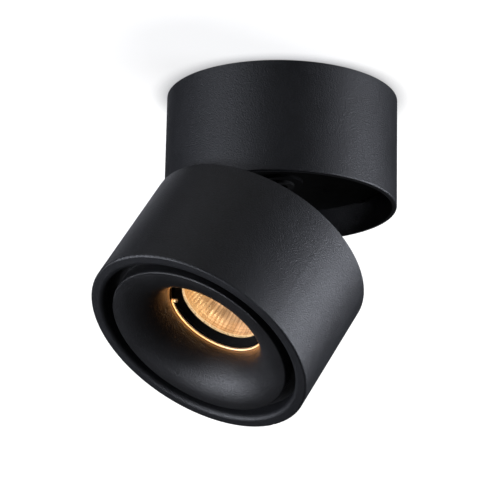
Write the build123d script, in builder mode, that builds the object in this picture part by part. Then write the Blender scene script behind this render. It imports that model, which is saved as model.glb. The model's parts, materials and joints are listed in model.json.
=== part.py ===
"""Surface mounted ceiling spotlight, in millimetres.

A drum shaped base sits on the ceiling. A rotor turns in its recessed underside and carries
a hinge beside the wall. A drum shaped head of the same diameter tilts on that hinge, and
holds a lamp behind a trumpet shaped baffle.

Frame: the origin is the centre of the ceiling face, +Z points up into the ceiling, and the
head is tilted towards -Y.
"""

import os
from math import asin, cos, degrees, radians, sin, sqrt

from build123d import *

os.makedirs("parts", exist_ok=True)

# ---------------------------------------------------------------- driving dimensions

# Both drums
drum_radius = 50.0
wall = 2.0
edge_round = 0.8

# Pose and hinge
tilt_rest = 33.7            # degrees from straight down, in the stored pose
head_gap = 1.5              # between the drums when the head hangs straight down
hinge_inset = 9.64          # from the drum's outside in to the hinge axis
hinge_rise = 8.06           # from the base's rim up to the hinge axis

# Base housing
base_height = 48.4
recess_depth = 12.0         # from the rim up to the rotor
web_thickness = 2.5
swivel_stop_width = 4.0

# Ceiling plate and its bayonet
plate_thickness = 1.5
bayonet_count = 3
bayonet_angle = 30.0        # where the first bayonet tab stands, degrees
tab_width = 12.0
tab_thickness = 1.5
tab_drop = 3.0              # from the plate's underside to the tab's foot
lug_thickness = 2.0
fixing_spacing = 60.0       # between the centres of the two ceiling slots
fixing_slot_length = 12.0
fixing_slot_radius = 2.25
cable_entry_y = 18.0
cable_entry_radius = 4.0
grommet_wall = 2.5
grommet_lip = 1.6
grommet_lip_height = 1.2

# Lock screw at the back of the base
lock_screw_radius = 2.0
lock_screw_drop = 9.0       # below the ceiling
lock_boss_depth = 3.0
lock_boss_size = 8.0

# Terminal block, cable clamp and earth tag under the plate
terminal_poles = 3
terminal_pitch = 10.0
terminal_width = 16.0
terminal_height = 13.0
terminal_y = -25.0
terminal_screw_radius = 1.6
terminal_wire_radius = 1.9
clamp_length = 28.0
clamp_wing = 8.0
clamp_width = 7.0
clamp_height = 6.0
clamp_thickness = 1.5
clamp_y = 0.0
earth_x = 27.0
earth_y = -14.0
earth_tag_radius = 4.0
earth_tag_length = 10.0
earth_tag_thickness = 0.8

# Driver on the web
driver_width = 24.0
driver_y = 23.0             # centre line of the driver
driver_headroom = 12.4      # from the ceiling down to the driver's cover
driver_wall = 1.2
driver_ear = 6.0
driver_ear_width = 8.0
driver_ear_thickness = 1.6
board_thickness = 1.4
board_rise = 2.0
transformer_size = 13.0
capacitor_radius = 4.0

# Pivot between base and rotor
pivot_radius = 6.0
pivot_bore_radius = 4.2
pivot_flange_radius = 9.5
pivot_flange_height = 1.5
bush_wall = 2.0
bush_flange_radius = 10.5
bush_flange_height = 0.8
slide_washer_radius = 22.0
slide_washer_thickness = 0.5
wave_washer_thickness = 1.0
pivot_nut_flats = 18.0
pivot_nut_height = 4.0
pivot_top_length = 1.2      # tube that shows above the nut

# Rotor
rotor_thickness = 1.8
rotor_edge_gap = 4.3        # between the rotor's edge and the base's wall
rotor_stop_width = 3.0
rotor_stop_reach = 2.6

# Hinge
hinge_pin_radius = 2.0
hinge_pin_head_radius = 3.0
hinge_pin_head_height = 1.2
hinge_pin_tail = 1.9
knuckle_radius = 3.2
arm_centre_x = 12.0
arm_thickness = 3.0
arm_width = 5.0
arm_setback = 10.9          # from the hinge axis in to the arm's lower leg
arm_outer_bend = 4.0
arm_inner_bend = 1.2
arm_foot_length = 12.0
arm_foot_width = 7.5
arm_foot_thickness = 2.5
ear_thickness = 2.0
bracket_length = 12.0
bracket_flange_width = 8.0
bracket_thickness = 1.5
bracket_inboard = 4.0       # from the hinge axis in to the bracket's flange
hinge_washer_thickness = 0.45
hinge_clip_thickness = 0.8
hinge_sleeve_wall = 1.0

# Head shell
head_length = 55.0
front_ring_width = 5.55
front_ring_depth = 7.5
front_ring_round = 2.0
cup_depth = 4.0             # from the shell's back rim down to the back panel
shell_lug_count = 3
shell_lug_inset = 4.5
shell_lug_radius = 4.0
shell_lug_length = 11.0

# Back panel and its cable hole
panel_thickness = 2.5
head_wire_y = -27.0
head_wire_radius = 3.0

# Heat sink
sink_thickness = 4.5
fin_count = 24
fin_thickness = 1.4
fin_inner_radius = 20.0
fin_outer_radius = 38.5
fin_tip_gap = 2.0
post_circle_radius = 31.0
post_radius = 3.6
post_count = 3

# Light source
pad_thickness = 0.3
chip_side = 19.0
chip_thickness = 1.2
emitter_radius = 6.5
emitter_thickness = 0.5
holder_radius = 17.0
holder_height = 3.5
holder_opening_radius = 8.0
holder_screw_x = 13.3

# Baffle
groove_width = 4.25
baffle_recess = 0.77
baffle_flat = 1.7
baffle_wall = 1.5
baffle_skirt_wall = 1.2
baffle_seat_thickness = 1.2
baffle_rim_round = 0.5
trumpet_depth = 16.5
throat_radius = 22.3
throat_length = 7.73
shoulder_width = 2.5
shoulder_thickness = 2.0
lamp_cup_flange_radius = 35.0

# Optics in the throat
reflector_wall = 0.8
reflector_flange = 1.0
reflector_neck_radius = 7.4
glass_thickness = 1.6
light_radius = 18.8
seal_width = 0.8
lens_ring_wall = 0.9
lens_ring_lip = 0.6
lens_ring_collar = 3.0
clip_wire_radius = 0.8
clip_gap_angle = 68.0
clip_gap_centre = 110.0     # in the head's face, degrees from +X
clip_ear_length = 2.2

# Screws
m3_radius = 1.5
m3_head_radius = 2.7
m3_head_height = 1.8
m3_sink_radius = 3.0
m3_engagement = 9.0
m25_radius = 1.25
m25_head_radius = 2.2
m25_head_height = 1.5
socket_depth = 0.9

# Clearances
seat_gap = 0.05             # round pieces in their seats, threads and running fits
slip_gap = 0.2              # pieces that drop in beside each other
body_gap = 0.25             # faces of pieces that move past each other
drill_gap = 0.2             # through holes round a screw
cut_margin = 1.0            # how far a cut runs past what it cuts

# ---------------------------------------------------------------- derived places

inner_radius = drum_radius - wall

rim_z = -base_height
rotor_bottom = rim_z + recess_depth
rotor_top = rotor_bottom + rotor_thickness
web_bottom = rotor_top + body_gap + slide_washer_thickness
web_top = web_bottom + web_thickness
rotor_radius = inner_radius - rotor_edge_gap
swivel_stop_bottom = rotor_bottom + body_gap

plate_bottom = -plate_thickness
tab_foot_top = plate_bottom - tab_drop
tab_foot_bottom = tab_foot_top - tab_thickness
plate_radius = inner_radius - lock_boss_depth
tab_leg_outer = plate_radius
tab_leg_inner = tab_leg_outer - tab_thickness
lug_inner = tab_leg_outer + slip_gap
tab_foot_outer = inner_radius - 3 * slip_gap
lock_tab_outer = plate_radius - 2 * slip_gap
lock_tab_inner = lock_tab_outer - tab_thickness
lock_tab_bottom = -lock_screw_drop - lock_boss_size / 2

driver_top = -driver_headroom
driver_height = driver_top - web_top
driver_far_y = driver_y + driver_width / 2
driver_room = sqrt((inner_radius - cut_margin) ** 2 - driver_far_y ** 2)
driver_length = 2 * (driver_room - driver_ear)
driver_screw_x = driver_length / 2 + driver_ear / 2

hinge_reach = drum_radius - hinge_inset
hinge_z = rim_z + hinge_rise
hinge_to_rim = hinge_rise + head_gap
ear_inner_x = arm_centre_x + arm_thickness / 2 + body_gap + hinge_washer_thickness
ear_outer_x = ear_inner_x + ear_thickness

# The head's own plane: origin at the centre of its back rim, z forward along the light,
# x along the hinge, y towards the hinge.
tilt = radians(tilt_rest)
head_back_y = -hinge_reach + hinge_reach * cos(tilt) - hinge_to_rim * sin(tilt)
head_back_z = hinge_z - hinge_reach * sin(tilt) - hinge_to_rim * cos(tilt)
head = Plane(
    origin=(0, head_back_y, head_back_z),
    x_dir=(1, 0, 0),
    z_dir=(0, -sin(tilt), -cos(tilt)),
)
head_section = Plane(origin=head.origin, x_dir=head.x_dir, z_dir=-head.y_dir)
head_side = Plane(origin=head.origin, x_dir=head.y_dir, z_dir=head.x_dir)
head_axis = Axis(head.origin, head.z_dir)

panel_back = cup_depth
panel_front = panel_back + panel_thickness
sink_front = panel_front + sink_thickness
front_ring_back = head_length - front_ring_depth
baffle_front = head_length - baffle_recess
trumpet_end = baffle_front - trumpet_depth
shoulder_front = trumpet_end - throat_length
shoulder_back = shoulder_front - shoulder_thickness
front_ring_inner = drum_radius - front_ring_width
baffle_radius = front_ring_inner - groove_width
lug_circle_radius = inner_radius - shell_lug_inset
chip_top = sink_front + pad_thickness + chip_thickness
holder_front = sink_front + holder_height
reflector_back = holder_front + slip_gap
reflector_flange_front = shoulder_front + reflector_flange
glass_front = reflector_flange_front + glass_thickness
lens_ring_radius = throat_radius - slip_gap
glass_bore = lens_ring_radius - lens_ring_wall
glass_radius = glass_bore - seal_width - seat_gap
reflector_flange_radius = glass_bore - slip_gap
reflector_mouth_radius = light_radius - lens_ring_lip
clip_front = glass_front + lens_ring_collar + 2 * clip_wire_radius
cup_front = clip_front + slip_gap
throat_outer = throat_radius + baffle_wall
clip_centre_radius = throat_radius - slip_gap / 2
knuckle_y = hinge_reach
knuckle_w = -hinge_to_rim
arm_leg_y = knuckle_y - arm_setback
arm_foot_far_y = arm_leg_y + arm_width / 2


# ---------------------------------------------------------------- shared shapes

def washer(plane, outer, inner, height):
    """A flat ring that stands on a plane."""
    with BuildPart() as piece:
        with BuildSketch(plane):
            Circle(outer)
            Circle(inner, mode=Mode.SUBTRACT)
        extrude(amount=height)
    return piece


def screws(plane, points, radius, length, head_radius, head_height):
    """Pan head screws whose heads stand on a plane and whose shanks run along -z."""
    with BuildPart() as piece:
        with BuildSketch(plane):
            with Locations(*points):
                Circle(head_radius)
        extrude(amount=head_height)
        with BuildSketch(plane):
            with Locations(*points):
                Circle(radius)
        extrude(amount=-length)
        with BuildSketch(plane.offset(head_height)):
            with Locations(*points):
                RegularPolygon(radius, 6)
        extrude(amount=-socket_depth, mode=Mode.SUBTRACT)
    return piece


def sunk_screws(plane, points, radius, length, head_radius):
    """Countersunk screws whose flat heads are flush with a plane, shanks along -z."""
    with BuildPart() as piece:
        with BuildSketch(plane):
            with Locations(*points):
                Circle(head_radius)
        extrude(amount=-(head_radius - radius), taper=45)
        with BuildSketch(plane):
            with Locations(*points):
                Circle(radius)
        extrude(amount=-length)
        with BuildSketch(plane):
            with Locations(*points):
                RegularPolygon(radius, 6)
        extrude(amount=-socket_depth, mode=Mode.SUBTRACT)
    return piece


def ring_points(radius, count, start):
    """Points evenly spaced on a circle, from an angle in degrees."""
    step = 360 / count
    return [
        (radius * cos(radians(start + i * step)), radius * sin(radians(start + i * step)))
        for i in range(count)
    ]


driver_screw_points = [(driver_screw_x, driver_y), (-driver_screw_x, driver_y)]
terminal_screw_points = [(-terminal_pitch / 2, terminal_y), (terminal_pitch / 2, terminal_y)]
clamp_screw_x = clamp_length / 2 - (clamp_wing - clamp_thickness) / 2
clamp_screw_points = [(clamp_screw_x, clamp_y), (-clamp_screw_x, clamp_y)]
shell_screw_points = ring_points(lug_circle_radius, shell_lug_count, 30)
post_points = ring_points(post_circle_radius, post_count, 90)
holder_screw_points = [(holder_screw_x, 0), (-holder_screw_x, 0)]

# ---------------------------------------------------------------- base

with BuildPart() as base_housing:
    with BuildSketch(Plane.XY.offset(rim_z)):
        Circle(drum_radius)
    extrude(amount=base_height)
    with BuildSketch(Plane.XY.offset(rim_z)):
        Circle(inner_radius)
    extrude(amount=web_bottom - rim_z, mode=Mode.SUBTRACT)
    with BuildSketch(Plane.XY.offset(web_top)):
        Circle(inner_radius)
    extrude(amount=-web_top, mode=Mode.SUBTRACT)
    rim_edges = base_housing.edges().filter_by(GeomType.CIRCLE).group_by(Axis.Z)[0]
    fillet(rim_edges.sort_by(SortBy.RADIUS)[-1], radius=edge_round)
    # bayonet lugs inside the top rim
    with BuildSketch(Plane.XY.offset(tab_foot_top)):
        with PolarLocations((lug_inner + drum_radius) / 2, bayonet_count, bayonet_angle):
            Rectangle(drum_radius - lug_inner, tab_width)
        Circle(drum_radius - wall / 2, mode=Mode.INTERSECT)
    extrude(amount=lug_thickness)
    # boss for the lock screw, at the back
    with BuildSketch(Plane.XZ.offset(-inner_radius - wall / 2)):
        with Locations((0, -lock_screw_drop)):
            Rectangle(lock_boss_size, lock_boss_size)
    extrude(amount=lock_boss_depth + wall / 2)
    with BuildSketch(Plane.XZ.offset(-drum_radius - cut_margin)):
        with Locations((0, -lock_screw_drop)):
            Circle(lock_screw_radius + seat_gap)
    extrude(amount=lock_boss_depth + wall + 2 * cut_margin, mode=Mode.SUBTRACT)
    # stop for the rotor, under the web and over the hinge
    with BuildSketch(Plane.XY.offset(swivel_stop_bottom)):
        with Locations((0, -(rotor_radius + body_gap + drum_radius) / 2)):
            Rectangle(swivel_stop_width, drum_radius - rotor_radius - body_gap)
        Circle(drum_radius - wall / 2, mode=Mode.INTERSECT)
    extrude(amount=web_bottom - swivel_stop_bottom)
    # holes in the web for the bush and the driver's screws
    with BuildSketch(Plane.XY.offset(web_bottom)):
        Circle(pivot_radius + bush_wall)
        with Locations(*driver_screw_points):
            Circle(m3_radius + seat_gap)
    extrude(amount=web_thickness, mode=Mode.SUBTRACT)
base_housing.part.label = "base_housing"

with BuildPart() as mounting_plate:
    with BuildSketch(Plane.XY.offset(plate_bottom)):
        Circle(plate_radius)
        with GridLocations(fixing_spacing, 0, 2, 1):
            SlotOverall(fixing_slot_length, 2 * fixing_slot_radius, mode=Mode.SUBTRACT)
        with Locations((0, cable_entry_y)):
            Circle(cable_entry_radius + grommet_wall, mode=Mode.SUBTRACT)
        with Locations(*terminal_screw_points, *clamp_screw_points, (earth_x, earth_y)):
            Circle(m3_radius + seat_gap, mode=Mode.SUBTRACT)
    extrude(amount=plate_thickness)
    # bayonet tabs: a leg down from the plate's edge and a foot out under the lug
    with BuildSketch(Plane.XY.offset(tab_foot_bottom)):
        with PolarLocations(tab_leg_outer, bayonet_count, bayonet_angle):
            Rectangle(4 * tab_thickness, tab_width)
        Circle(tab_leg_outer, mode=Mode.INTERSECT)
        Circle(tab_leg_inner, mode=Mode.SUBTRACT)
    extrude(amount=-tab_foot_bottom)
    with BuildSketch(Plane.XY.offset(tab_foot_bottom)):
        with PolarLocations(tab_leg_outer, bayonet_count, bayonet_angle):
            Rectangle(4 * lock_boss_depth, tab_width)
        Circle(tab_foot_outer, mode=Mode.INTERSECT)
        Circle(tab_leg_inner, mode=Mode.SUBTRACT)
    extrude(amount=tab_thickness)
    # lock tab that the screw at the back presses on
    with BuildSketch(Plane.XY.offset(lock_tab_bottom)):
        with Locations((0, (lock_tab_inner + lock_tab_outer) / 2)):
            Rectangle(lock_boss_size, tab_thickness)
    extrude(amount=-lock_tab_bottom)
mounting_plate.part.label = "mounting_plate"

with BuildPart() as lock_screw:
    with BuildSketch(Plane.XZ.offset(-lock_tab_outer)):
        with Locations((0, -lock_screw_drop)):
            Circle(lock_screw_radius)
    extrude(amount=-(drum_radius - lock_tab_outer - wall / 2))
    with BuildSketch(Plane.XZ.offset(-drum_radius + wall / 2)):
        with Locations((0, -lock_screw_drop)):
            RegularPolygon(lock_screw_radius / 2, 6)
    extrude(amount=wall, mode=Mode.SUBTRACT)
lock_screw.part.label = "lock_screw"

with BuildPart() as cable_grommet:
    with BuildSketch(Plane.XY.offset(plate_bottom)):
        with Locations((0, cable_entry_y)):
            Circle(cable_entry_radius + grommet_wall - seat_gap)
    extrude(amount=plate_thickness)
    with BuildSketch(Plane.XY.offset(plate_bottom)):
        with Locations((0, cable_entry_y)):
            Circle(cable_entry_radius + grommet_wall + grommet_lip)
    extrude(amount=-grommet_lip_height)
    with BuildSketch(Plane.XY.offset(plate_bottom - grommet_lip_height)):
        with Locations((0, cable_entry_y)):
            Circle(cable_entry_radius)
    extrude(amount=plate_thickness + grommet_lip_height, mode=Mode.SUBTRACT)
cable_grommet.part.label = "cable_grommet"

terminal_length = terminal_poles * terminal_pitch
terminal_clamp_points = [
    ((i - (terminal_poles - 1) / 2) * terminal_pitch, terminal_y + side * terminal_width / 4)
    for i in range(terminal_poles)
    for side in (-1, 1)
]
terminal_bottom = plate_bottom - terminal_height

with BuildPart() as terminal_block:
    with BuildSketch(Plane.XY.offset(terminal_bottom)):
        with Locations((0, terminal_y)):
            Rectangle(terminal_length, terminal_width)
    extrude(amount=terminal_height)
    fillet(terminal_block.edges().filter_by(Axis.Z), radius=1)
    with BuildSketch(Plane.XY.offset(terminal_bottom)):
        with Locations(*terminal_clamp_points):
            Circle(terminal_screw_radius + seat_gap)
        with Locations(*terminal_screw_points):
            Circle(m3_radius + drill_gap)
    extrude(amount=terminal_height, mode=Mode.SUBTRACT)
    # wire tunnels through each pole
    with BuildSketch(Plane.XZ.offset(-terminal_y - terminal_width)):
        with Locations((0, plate_bottom - terminal_height / 2)):
            with GridLocations(terminal_pitch, 0, terminal_poles, 1):
                Circle(terminal_wire_radius)
    extrude(amount=2 * terminal_width, mode=Mode.SUBTRACT)
terminal_block.part.label = "terminal_block"

with BuildPart() as terminal_screws:
    with BuildSketch(Plane.XY.offset(terminal_bottom + socket_depth)):
        with Locations(*terminal_clamp_points):
            Circle(terminal_screw_radius)
    extrude(amount=terminal_height / 3)
    with BuildSketch(Plane.XY.offset(terminal_bottom + socket_depth)):
        with Locations(*terminal_clamp_points):
            Rectangle(4 * terminal_screw_radius, terminal_screw_radius / 3)
    extrude(amount=socket_depth, mode=Mode.SUBTRACT)
terminal_screws.part.label = "terminal_screws"

under_terminal = Plane(origin=(0, 0, terminal_bottom), x_dir=(1, 0, 0), z_dir=(0, 0, -1))
under_clamp = Plane(
    origin=(0, 0, plate_bottom - clamp_thickness), x_dir=(1, 0, 0), z_dir=(0, 0, -1)
)
under_tag = Plane(
    origin=(0, 0, plate_bottom - earth_tag_thickness), x_dir=(1, 0, 0), z_dir=(0, 0, -1)
)

terminal_mount_screws = screws(
    under_terminal,
    [(x, -y) for x, y in terminal_screw_points],
    m3_radius,
    terminal_height + plate_thickness,
    terminal_pitch / 2 - terminal_screw_radius - slip_gap,
    m3_head_height,
)
terminal_mount_screws.part.label = "terminal_mount_screws"

with BuildPart() as cable_clamp:
    clamp_step = clamp_height - clamp_thickness
    clamp_arch = clamp_length / 2 - clamp_wing
    with BuildSketch(Plane.XZ.offset(-clamp_y - clamp_width / 2)):
        with BuildLine():
            Polyline(
                (-clamp_length / 2, plate_bottom),
                (-clamp_arch, plate_bottom),
                (-clamp_arch, plate_bottom - clamp_step),
                (clamp_arch, plate_bottom - clamp_step),
                (clamp_arch, plate_bottom),
                (clamp_length / 2, plate_bottom),
                (clamp_length / 2, plate_bottom - clamp_thickness),
                (clamp_arch + clamp_thickness, plate_bottom - clamp_thickness),
                (clamp_arch + clamp_thickness, plate_bottom - clamp_height),
                (-clamp_arch - clamp_thickness, plate_bottom - clamp_height),
                (-clamp_arch - clamp_thickness, plate_bottom - clamp_thickness),
                (-clamp_length / 2, plate_bottom - clamp_thickness),
                close=True,
            )
        make_face()
    extrude(amount=clamp_width)
    with BuildSketch(under_clamp):
        with Locations(*[(x, -y) for x, y in clamp_screw_points]):
            Circle(m3_radius + drill_gap)
    extrude(amount=-clamp_thickness, mode=Mode.SUBTRACT)
cable_clamp.part.label = "cable_clamp"

clamp_screws = screws(
    under_clamp,
    [(x, -y) for x, y in clamp_screw_points],
    m3_radius,
    clamp_thickness + plate_thickness,
    m3_head_radius,
    m3_head_height,
)
clamp_screws.part.label = "clamp_screws"

with BuildPart() as earth_tag:
    with BuildSketch(under_tag):
        with Locations((earth_x, -earth_y)):
            Circle(earth_tag_radius)
        with Locations((earth_x - earth_tag_length / 2, -earth_y)):
            Rectangle(earth_tag_length, earth_tag_radius)
        with Locations((earth_x, -earth_y)):
            Circle(m3_radius + drill_gap, mode=Mode.SUBTRACT)
    extrude(amount=-earth_tag_thickness)
earth_tag.part.label = "earth_tag"

earth_screw = screws(
    under_tag,
    [(earth_x, -earth_y)],
    m3_radius,
    earth_tag_thickness + plate_thickness,
    m3_head_radius,
    m3_head_height,
)
earth_screw.part.label = "earth_screw"

with BuildPart() as driver_case:
    with BuildSketch(Plane.XY.offset(web_top)):
        with Locations((0, driver_y)):
            Rectangle(driver_length, driver_width)
    extrude(amount=driver_height - driver_wall)
    fillet(driver_case.edges().filter_by(Axis.Z), radius=driver_wall)
    with BuildSketch(Plane.XY.offset(web_top + driver_wall)):
        with Locations((0, driver_y)):
            Rectangle(driver_length - 2 * driver_wall, driver_width - 2 * driver_wall)
    extrude(amount=driver_height, mode=Mode.SUBTRACT)
    # screw ears at both ends
    with BuildSketch(Plane.XY.offset(web_top)):
        with Locations(*[(x * driver_length / 2, driver_y) for x in (-1, 1)]):
            Rectangle(2 * driver_ear, driver_ear_width)
        with Locations((0, driver_y)):
            Rectangle(driver_length - driver_wall, driver_width, mode=Mode.SUBTRACT)
        with Locations(*driver_screw_points):
            Circle(m3_radius + drill_gap, mode=Mode.SUBTRACT)
    extrude(amount=driver_ear_thickness)
driver_case.part.label = "driver_case"

with BuildPart() as driver_cover:
    with BuildSketch(Plane.XY.offset(driver_top - driver_wall)):
        with Locations((0, driver_y)):
            RectangleRounded(driver_length, driver_width, driver_wall)
    extrude(amount=driver_wall)
    # wire outlet for the supply and the lamp lead
    with BuildSketch(Plane.XY.offset(driver_top - driver_wall)):
        with Locations((0, driver_y - driver_width / 4)):
            SlotOverall(driver_width / 2, 2 * terminal_wire_radius)
    extrude(amount=driver_wall, mode=Mode.SUBTRACT)
driver_cover.part.label = "driver_cover"

driver_screws = screws(
    Plane.XY.offset(web_top + driver_ear_thickness),
    driver_screw_points,
    m3_radius,
    driver_ear_thickness + web_thickness,
    m3_head_radius - slip_gap,
    m3_head_height,
)
driver_screws.part.label = "driver_screws"

board_bottom = web_top + driver_wall + board_rise
board_top = board_bottom + board_thickness
board_length = driver_length - 2 * driver_wall - 2 * slip_gap
board_width = driver_width - 2 * driver_wall - 2 * slip_gap
component_height = driver_top - driver_wall - board_top - 2 * slip_gap

with BuildPart() as driver_board:
    with BuildSketch(Plane.XY.offset(board_bottom)):
        with Locations((0, driver_y)):
            Rectangle(board_length, board_width)
    extrude(amount=board_thickness)
    # stand-off ribs that rest on the case's floor
    with BuildSketch(Plane.XY.offset(board_bottom - board_rise)):
        with Locations((0, driver_y)):
            with GridLocations(board_length - board_rise, 0, 2, 1):
                Rectangle(board_rise, board_width)
    extrude(amount=board_rise)
driver_board.part.label = "driver_board"

with BuildPart() as driver_components:
    with BuildSketch(Plane.XY.offset(board_top)):
        with Locations((0, driver_y)):
            Rectangle(transformer_size, transformer_size)
    extrude(amount=component_height)
    with BuildSketch(Plane.XY.offset(board_top)):
        with Locations((0, driver_y)):
            with GridLocations(2 * (transformer_size - 1), 0, 2, 1):
                Circle(capacitor_radius)
    extrude(amount=component_height - 1)
driver_components.part.label = "driver_components"

with BuildPart() as pivot_bush:
    with BuildSketch(Plane.XY.offset(web_bottom)):
        Circle(pivot_radius + bush_wall - seat_gap)
    extrude(amount=web_thickness)
    with BuildSketch(Plane.XY.offset(web_top)):
        Circle(bush_flange_radius)
    extrude(amount=bush_flange_height)
    with BuildSketch(Plane.XY.offset(web_bottom)):
        Circle(pivot_radius + seat_gap)
    extrude(amount=web_thickness + bush_flange_height, mode=Mode.SUBTRACT)
pivot_bush.part.label = "pivot_bush"

slide_washer = washer(
    Plane.XY.offset(web_bottom - slide_washer_thickness),
    slide_washer_radius,
    pivot_radius + bush_wall,
    slide_washer_thickness,
)
slide_washer.part.label = "slide_washer"

# ---------------------------------------------------------------- rotor

bracket_centre_x = ear_inner_x + (ear_thickness + bracket_flange_width) / 2
bracket_near_y = -hinge_reach + bracket_inboard
bracket_centre_y = bracket_near_y + bracket_length / 2
bracket_screw_x = ear_outer_x + bracket_flange_width / 2
bracket_screw_points = [
    (side * bracket_screw_x, bracket_centre_y + shift * bracket_length / 4)
    for side in (-1, 1)
    for shift in (-1, 1)
]

with BuildPart() as rotor_plate:
    with BuildSketch(Plane.XY.offset(rotor_bottom)):
        Circle(rotor_radius)
        with Locations((0, rotor_radius)):
            Rectangle(rotor_stop_width, 2 * rotor_stop_reach)
        Circle(pivot_radius + seat_gap, mode=Mode.SUBTRACT)
        with Locations(*bracket_screw_points):
            Circle(m25_radius + seat_gap, mode=Mode.SUBTRACT)
    extrude(amount=rotor_thickness)
rotor_plate.part.label = "rotor_plate"

bush_top = web_top + bush_flange_height
wave_washer_bottom = bush_top + body_gap
nut_bottom = wave_washer_bottom + wave_washer_thickness
pivot_top = nut_bottom + pivot_nut_height + pivot_top_length

with BuildPart() as pivot_tube:
    with BuildSketch(Plane.XY.offset(rotor_bottom - pivot_flange_height)):
        Circle(pivot_flange_radius)
    extrude(amount=pivot_flange_height)
    with BuildSketch(Plane.XY.offset(rotor_bottom)):
        Circle(pivot_radius)
    extrude(amount=pivot_top - rotor_bottom)
    chamfer(pivot_tube.faces().sort_by(Axis.Z)[-1].edges(), length=0.4)
    with BuildSketch(Plane.XY.offset(rotor_bottom - pivot_flange_height)):
        Circle(pivot_bore_radius)
    extrude(amount=pivot_top - rotor_bottom + pivot_flange_height, mode=Mode.SUBTRACT)
pivot_tube.part.label = "pivot_tube"

wave_washer = washer(
    Plane.XY.offset(wave_washer_bottom),
    pivot_flange_radius,
    pivot_radius + slip_gap,
    wave_washer_thickness,
)
wave_washer.part.label = "wave_washer"

with BuildPart() as pivot_nut:
    with BuildSketch(Plane.XY.offset(nut_bottom)):
        RegularPolygon(pivot_nut_flats / 2, 6, major_radius=False)
        Circle(pivot_radius + seat_gap, mode=Mode.SUBTRACT)
    extrude(amount=pivot_nut_height)
pivot_nut.part.label = "pivot_nut"

with BuildPart() as pivot_grommet:
    with BuildSketch(Plane.XY.offset(rotor_bottom - pivot_flange_height - grommet_lip_height)):
        Circle(pivot_bore_radius + grommet_lip)
    extrude(amount=grommet_lip_height)
    with BuildSketch(Plane.XY.offset(rotor_bottom - pivot_flange_height)):
        Circle(pivot_bore_radius - seat_gap)
    extrude(amount=pivot_flange_height + rotor_thickness)
    with BuildSketch(Plane.XY.offset(rotor_bottom - pivot_flange_height - grommet_lip_height)):
        Circle(head_wire_radius)
    extrude(
        amount=grommet_lip_height + pivot_flange_height + rotor_thickness,
        mode=Mode.SUBTRACT,
    )
pivot_grommet.part.label = "pivot_grommet"


def hinge_bracket(side):
    """An angle bracket: a flange under the rotor and an ear down to the hinge pin."""
    ear_start = ear_inner_x if side > 0 else -ear_outer_x
    with BuildPart() as piece:
        with BuildSketch(Plane.YZ.offset(ear_start)):
            with BuildLine():
                Polyline(
                    (-hinge_reach - knuckle_radius, hinge_z),
                    (-hinge_reach - knuckle_radius, rotor_bottom),
                    (bracket_near_y + bracket_length, rotor_bottom),
                    (bracket_near_y + bracket_length, rotor_bottom - bracket_thickness),
                    (-hinge_reach + knuckle_radius, hinge_z),
                    close=True,
                )
            make_face()
            with Locations((-hinge_reach, hinge_z)):
                Circle(knuckle_radius)
                Circle(hinge_pin_radius + seat_gap, mode=Mode.SUBTRACT)
        extrude(amount=ear_thickness)
        with BuildSketch(Plane.XY.offset(rotor_bottom - bracket_thickness)):
            with Locations((side * bracket_centre_x, bracket_centre_y)):
                Rectangle(ear_thickness + bracket_flange_width, bracket_length)
        extrude(amount=bracket_thickness)
        with BuildSketch(Plane.XY.offset(rotor_bottom - bracket_thickness)):
            with Locations(*bracket_screw_points):
                Circle(m25_radius + drill_gap)
        extrude(amount=bracket_thickness, mode=Mode.SUBTRACT)
    return piece


hinge_bracket_right = hinge_bracket(1)
hinge_bracket_right.part.label = "hinge_bracket_right"
hinge_bracket_left = hinge_bracket(-1)
hinge_bracket_left.part.label = "hinge_bracket_left"

under_bracket = Plane(
    origin=(0, 0, rotor_bottom - bracket_thickness), x_dir=(1, 0, 0), z_dir=(0, 0, -1)
)
bracket_screws = screws(
    under_bracket,
    [(x, -y) for x, y in bracket_screw_points],
    m25_radius,
    bracket_thickness + rotor_thickness,
    m25_head_radius,
    m25_head_height,
)
bracket_screws.part.label = "bracket_screws"

with BuildPart() as hinge_pin:
    with BuildSketch(Plane.YZ.offset(-ear_outer_x - hinge_pin_head_height)):
        with Locations((-hinge_reach, hinge_z)):
            Circle(hinge_pin_head_radius)
    extrude(amount=hinge_pin_head_height)
    with BuildSketch(Plane.YZ.offset(-ear_outer_x)):
        with Locations((-hinge_reach, hinge_z)):
            Circle(hinge_pin_radius)
    extrude(amount=2 * ear_outer_x + hinge_pin_tail)
    # groove for the clip
    with BuildSketch(Plane.YZ.offset(ear_outer_x)):
        with Locations((-hinge_reach, hinge_z)):
            Circle(hinge_pin_radius + cut_margin)
            Circle(hinge_pin_radius * 0.75, mode=Mode.SUBTRACT)
    extrude(amount=hinge_clip_thickness, mode=Mode.SUBTRACT)
hinge_pin.part.label = "hinge_pin"

with BuildPart() as hinge_clip:
    with BuildSketch(Plane.YZ.offset(ear_outer_x)):
        with Locations((-hinge_reach, hinge_z)):
            Circle(knuckle_radius)
            Circle(hinge_pin_radius * 0.75 + seat_gap, mode=Mode.SUBTRACT)
        with Locations((-hinge_reach, hinge_z + knuckle_radius / 2)):
            Rectangle(hinge_pin_radius, knuckle_radius + cut_margin, mode=Mode.SUBTRACT)
    extrude(amount=hinge_clip_thickness)
hinge_clip.part.label = "hinge_clip"

with BuildPart() as hinge_washers:
    for start in (ear_inner_x - hinge_washer_thickness, -ear_inner_x):
        with BuildSketch(Plane.YZ.offset(start)):
            with Locations((-hinge_reach, hinge_z)):
                Circle(knuckle_radius)
                Circle(hinge_pin_radius + seat_gap, mode=Mode.SUBTRACT)
        extrude(amount=hinge_washer_thickness)
hinge_washers.part.label = "hinge_washers"

# ---------------------------------------------------------------- head: hinge arms

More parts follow.
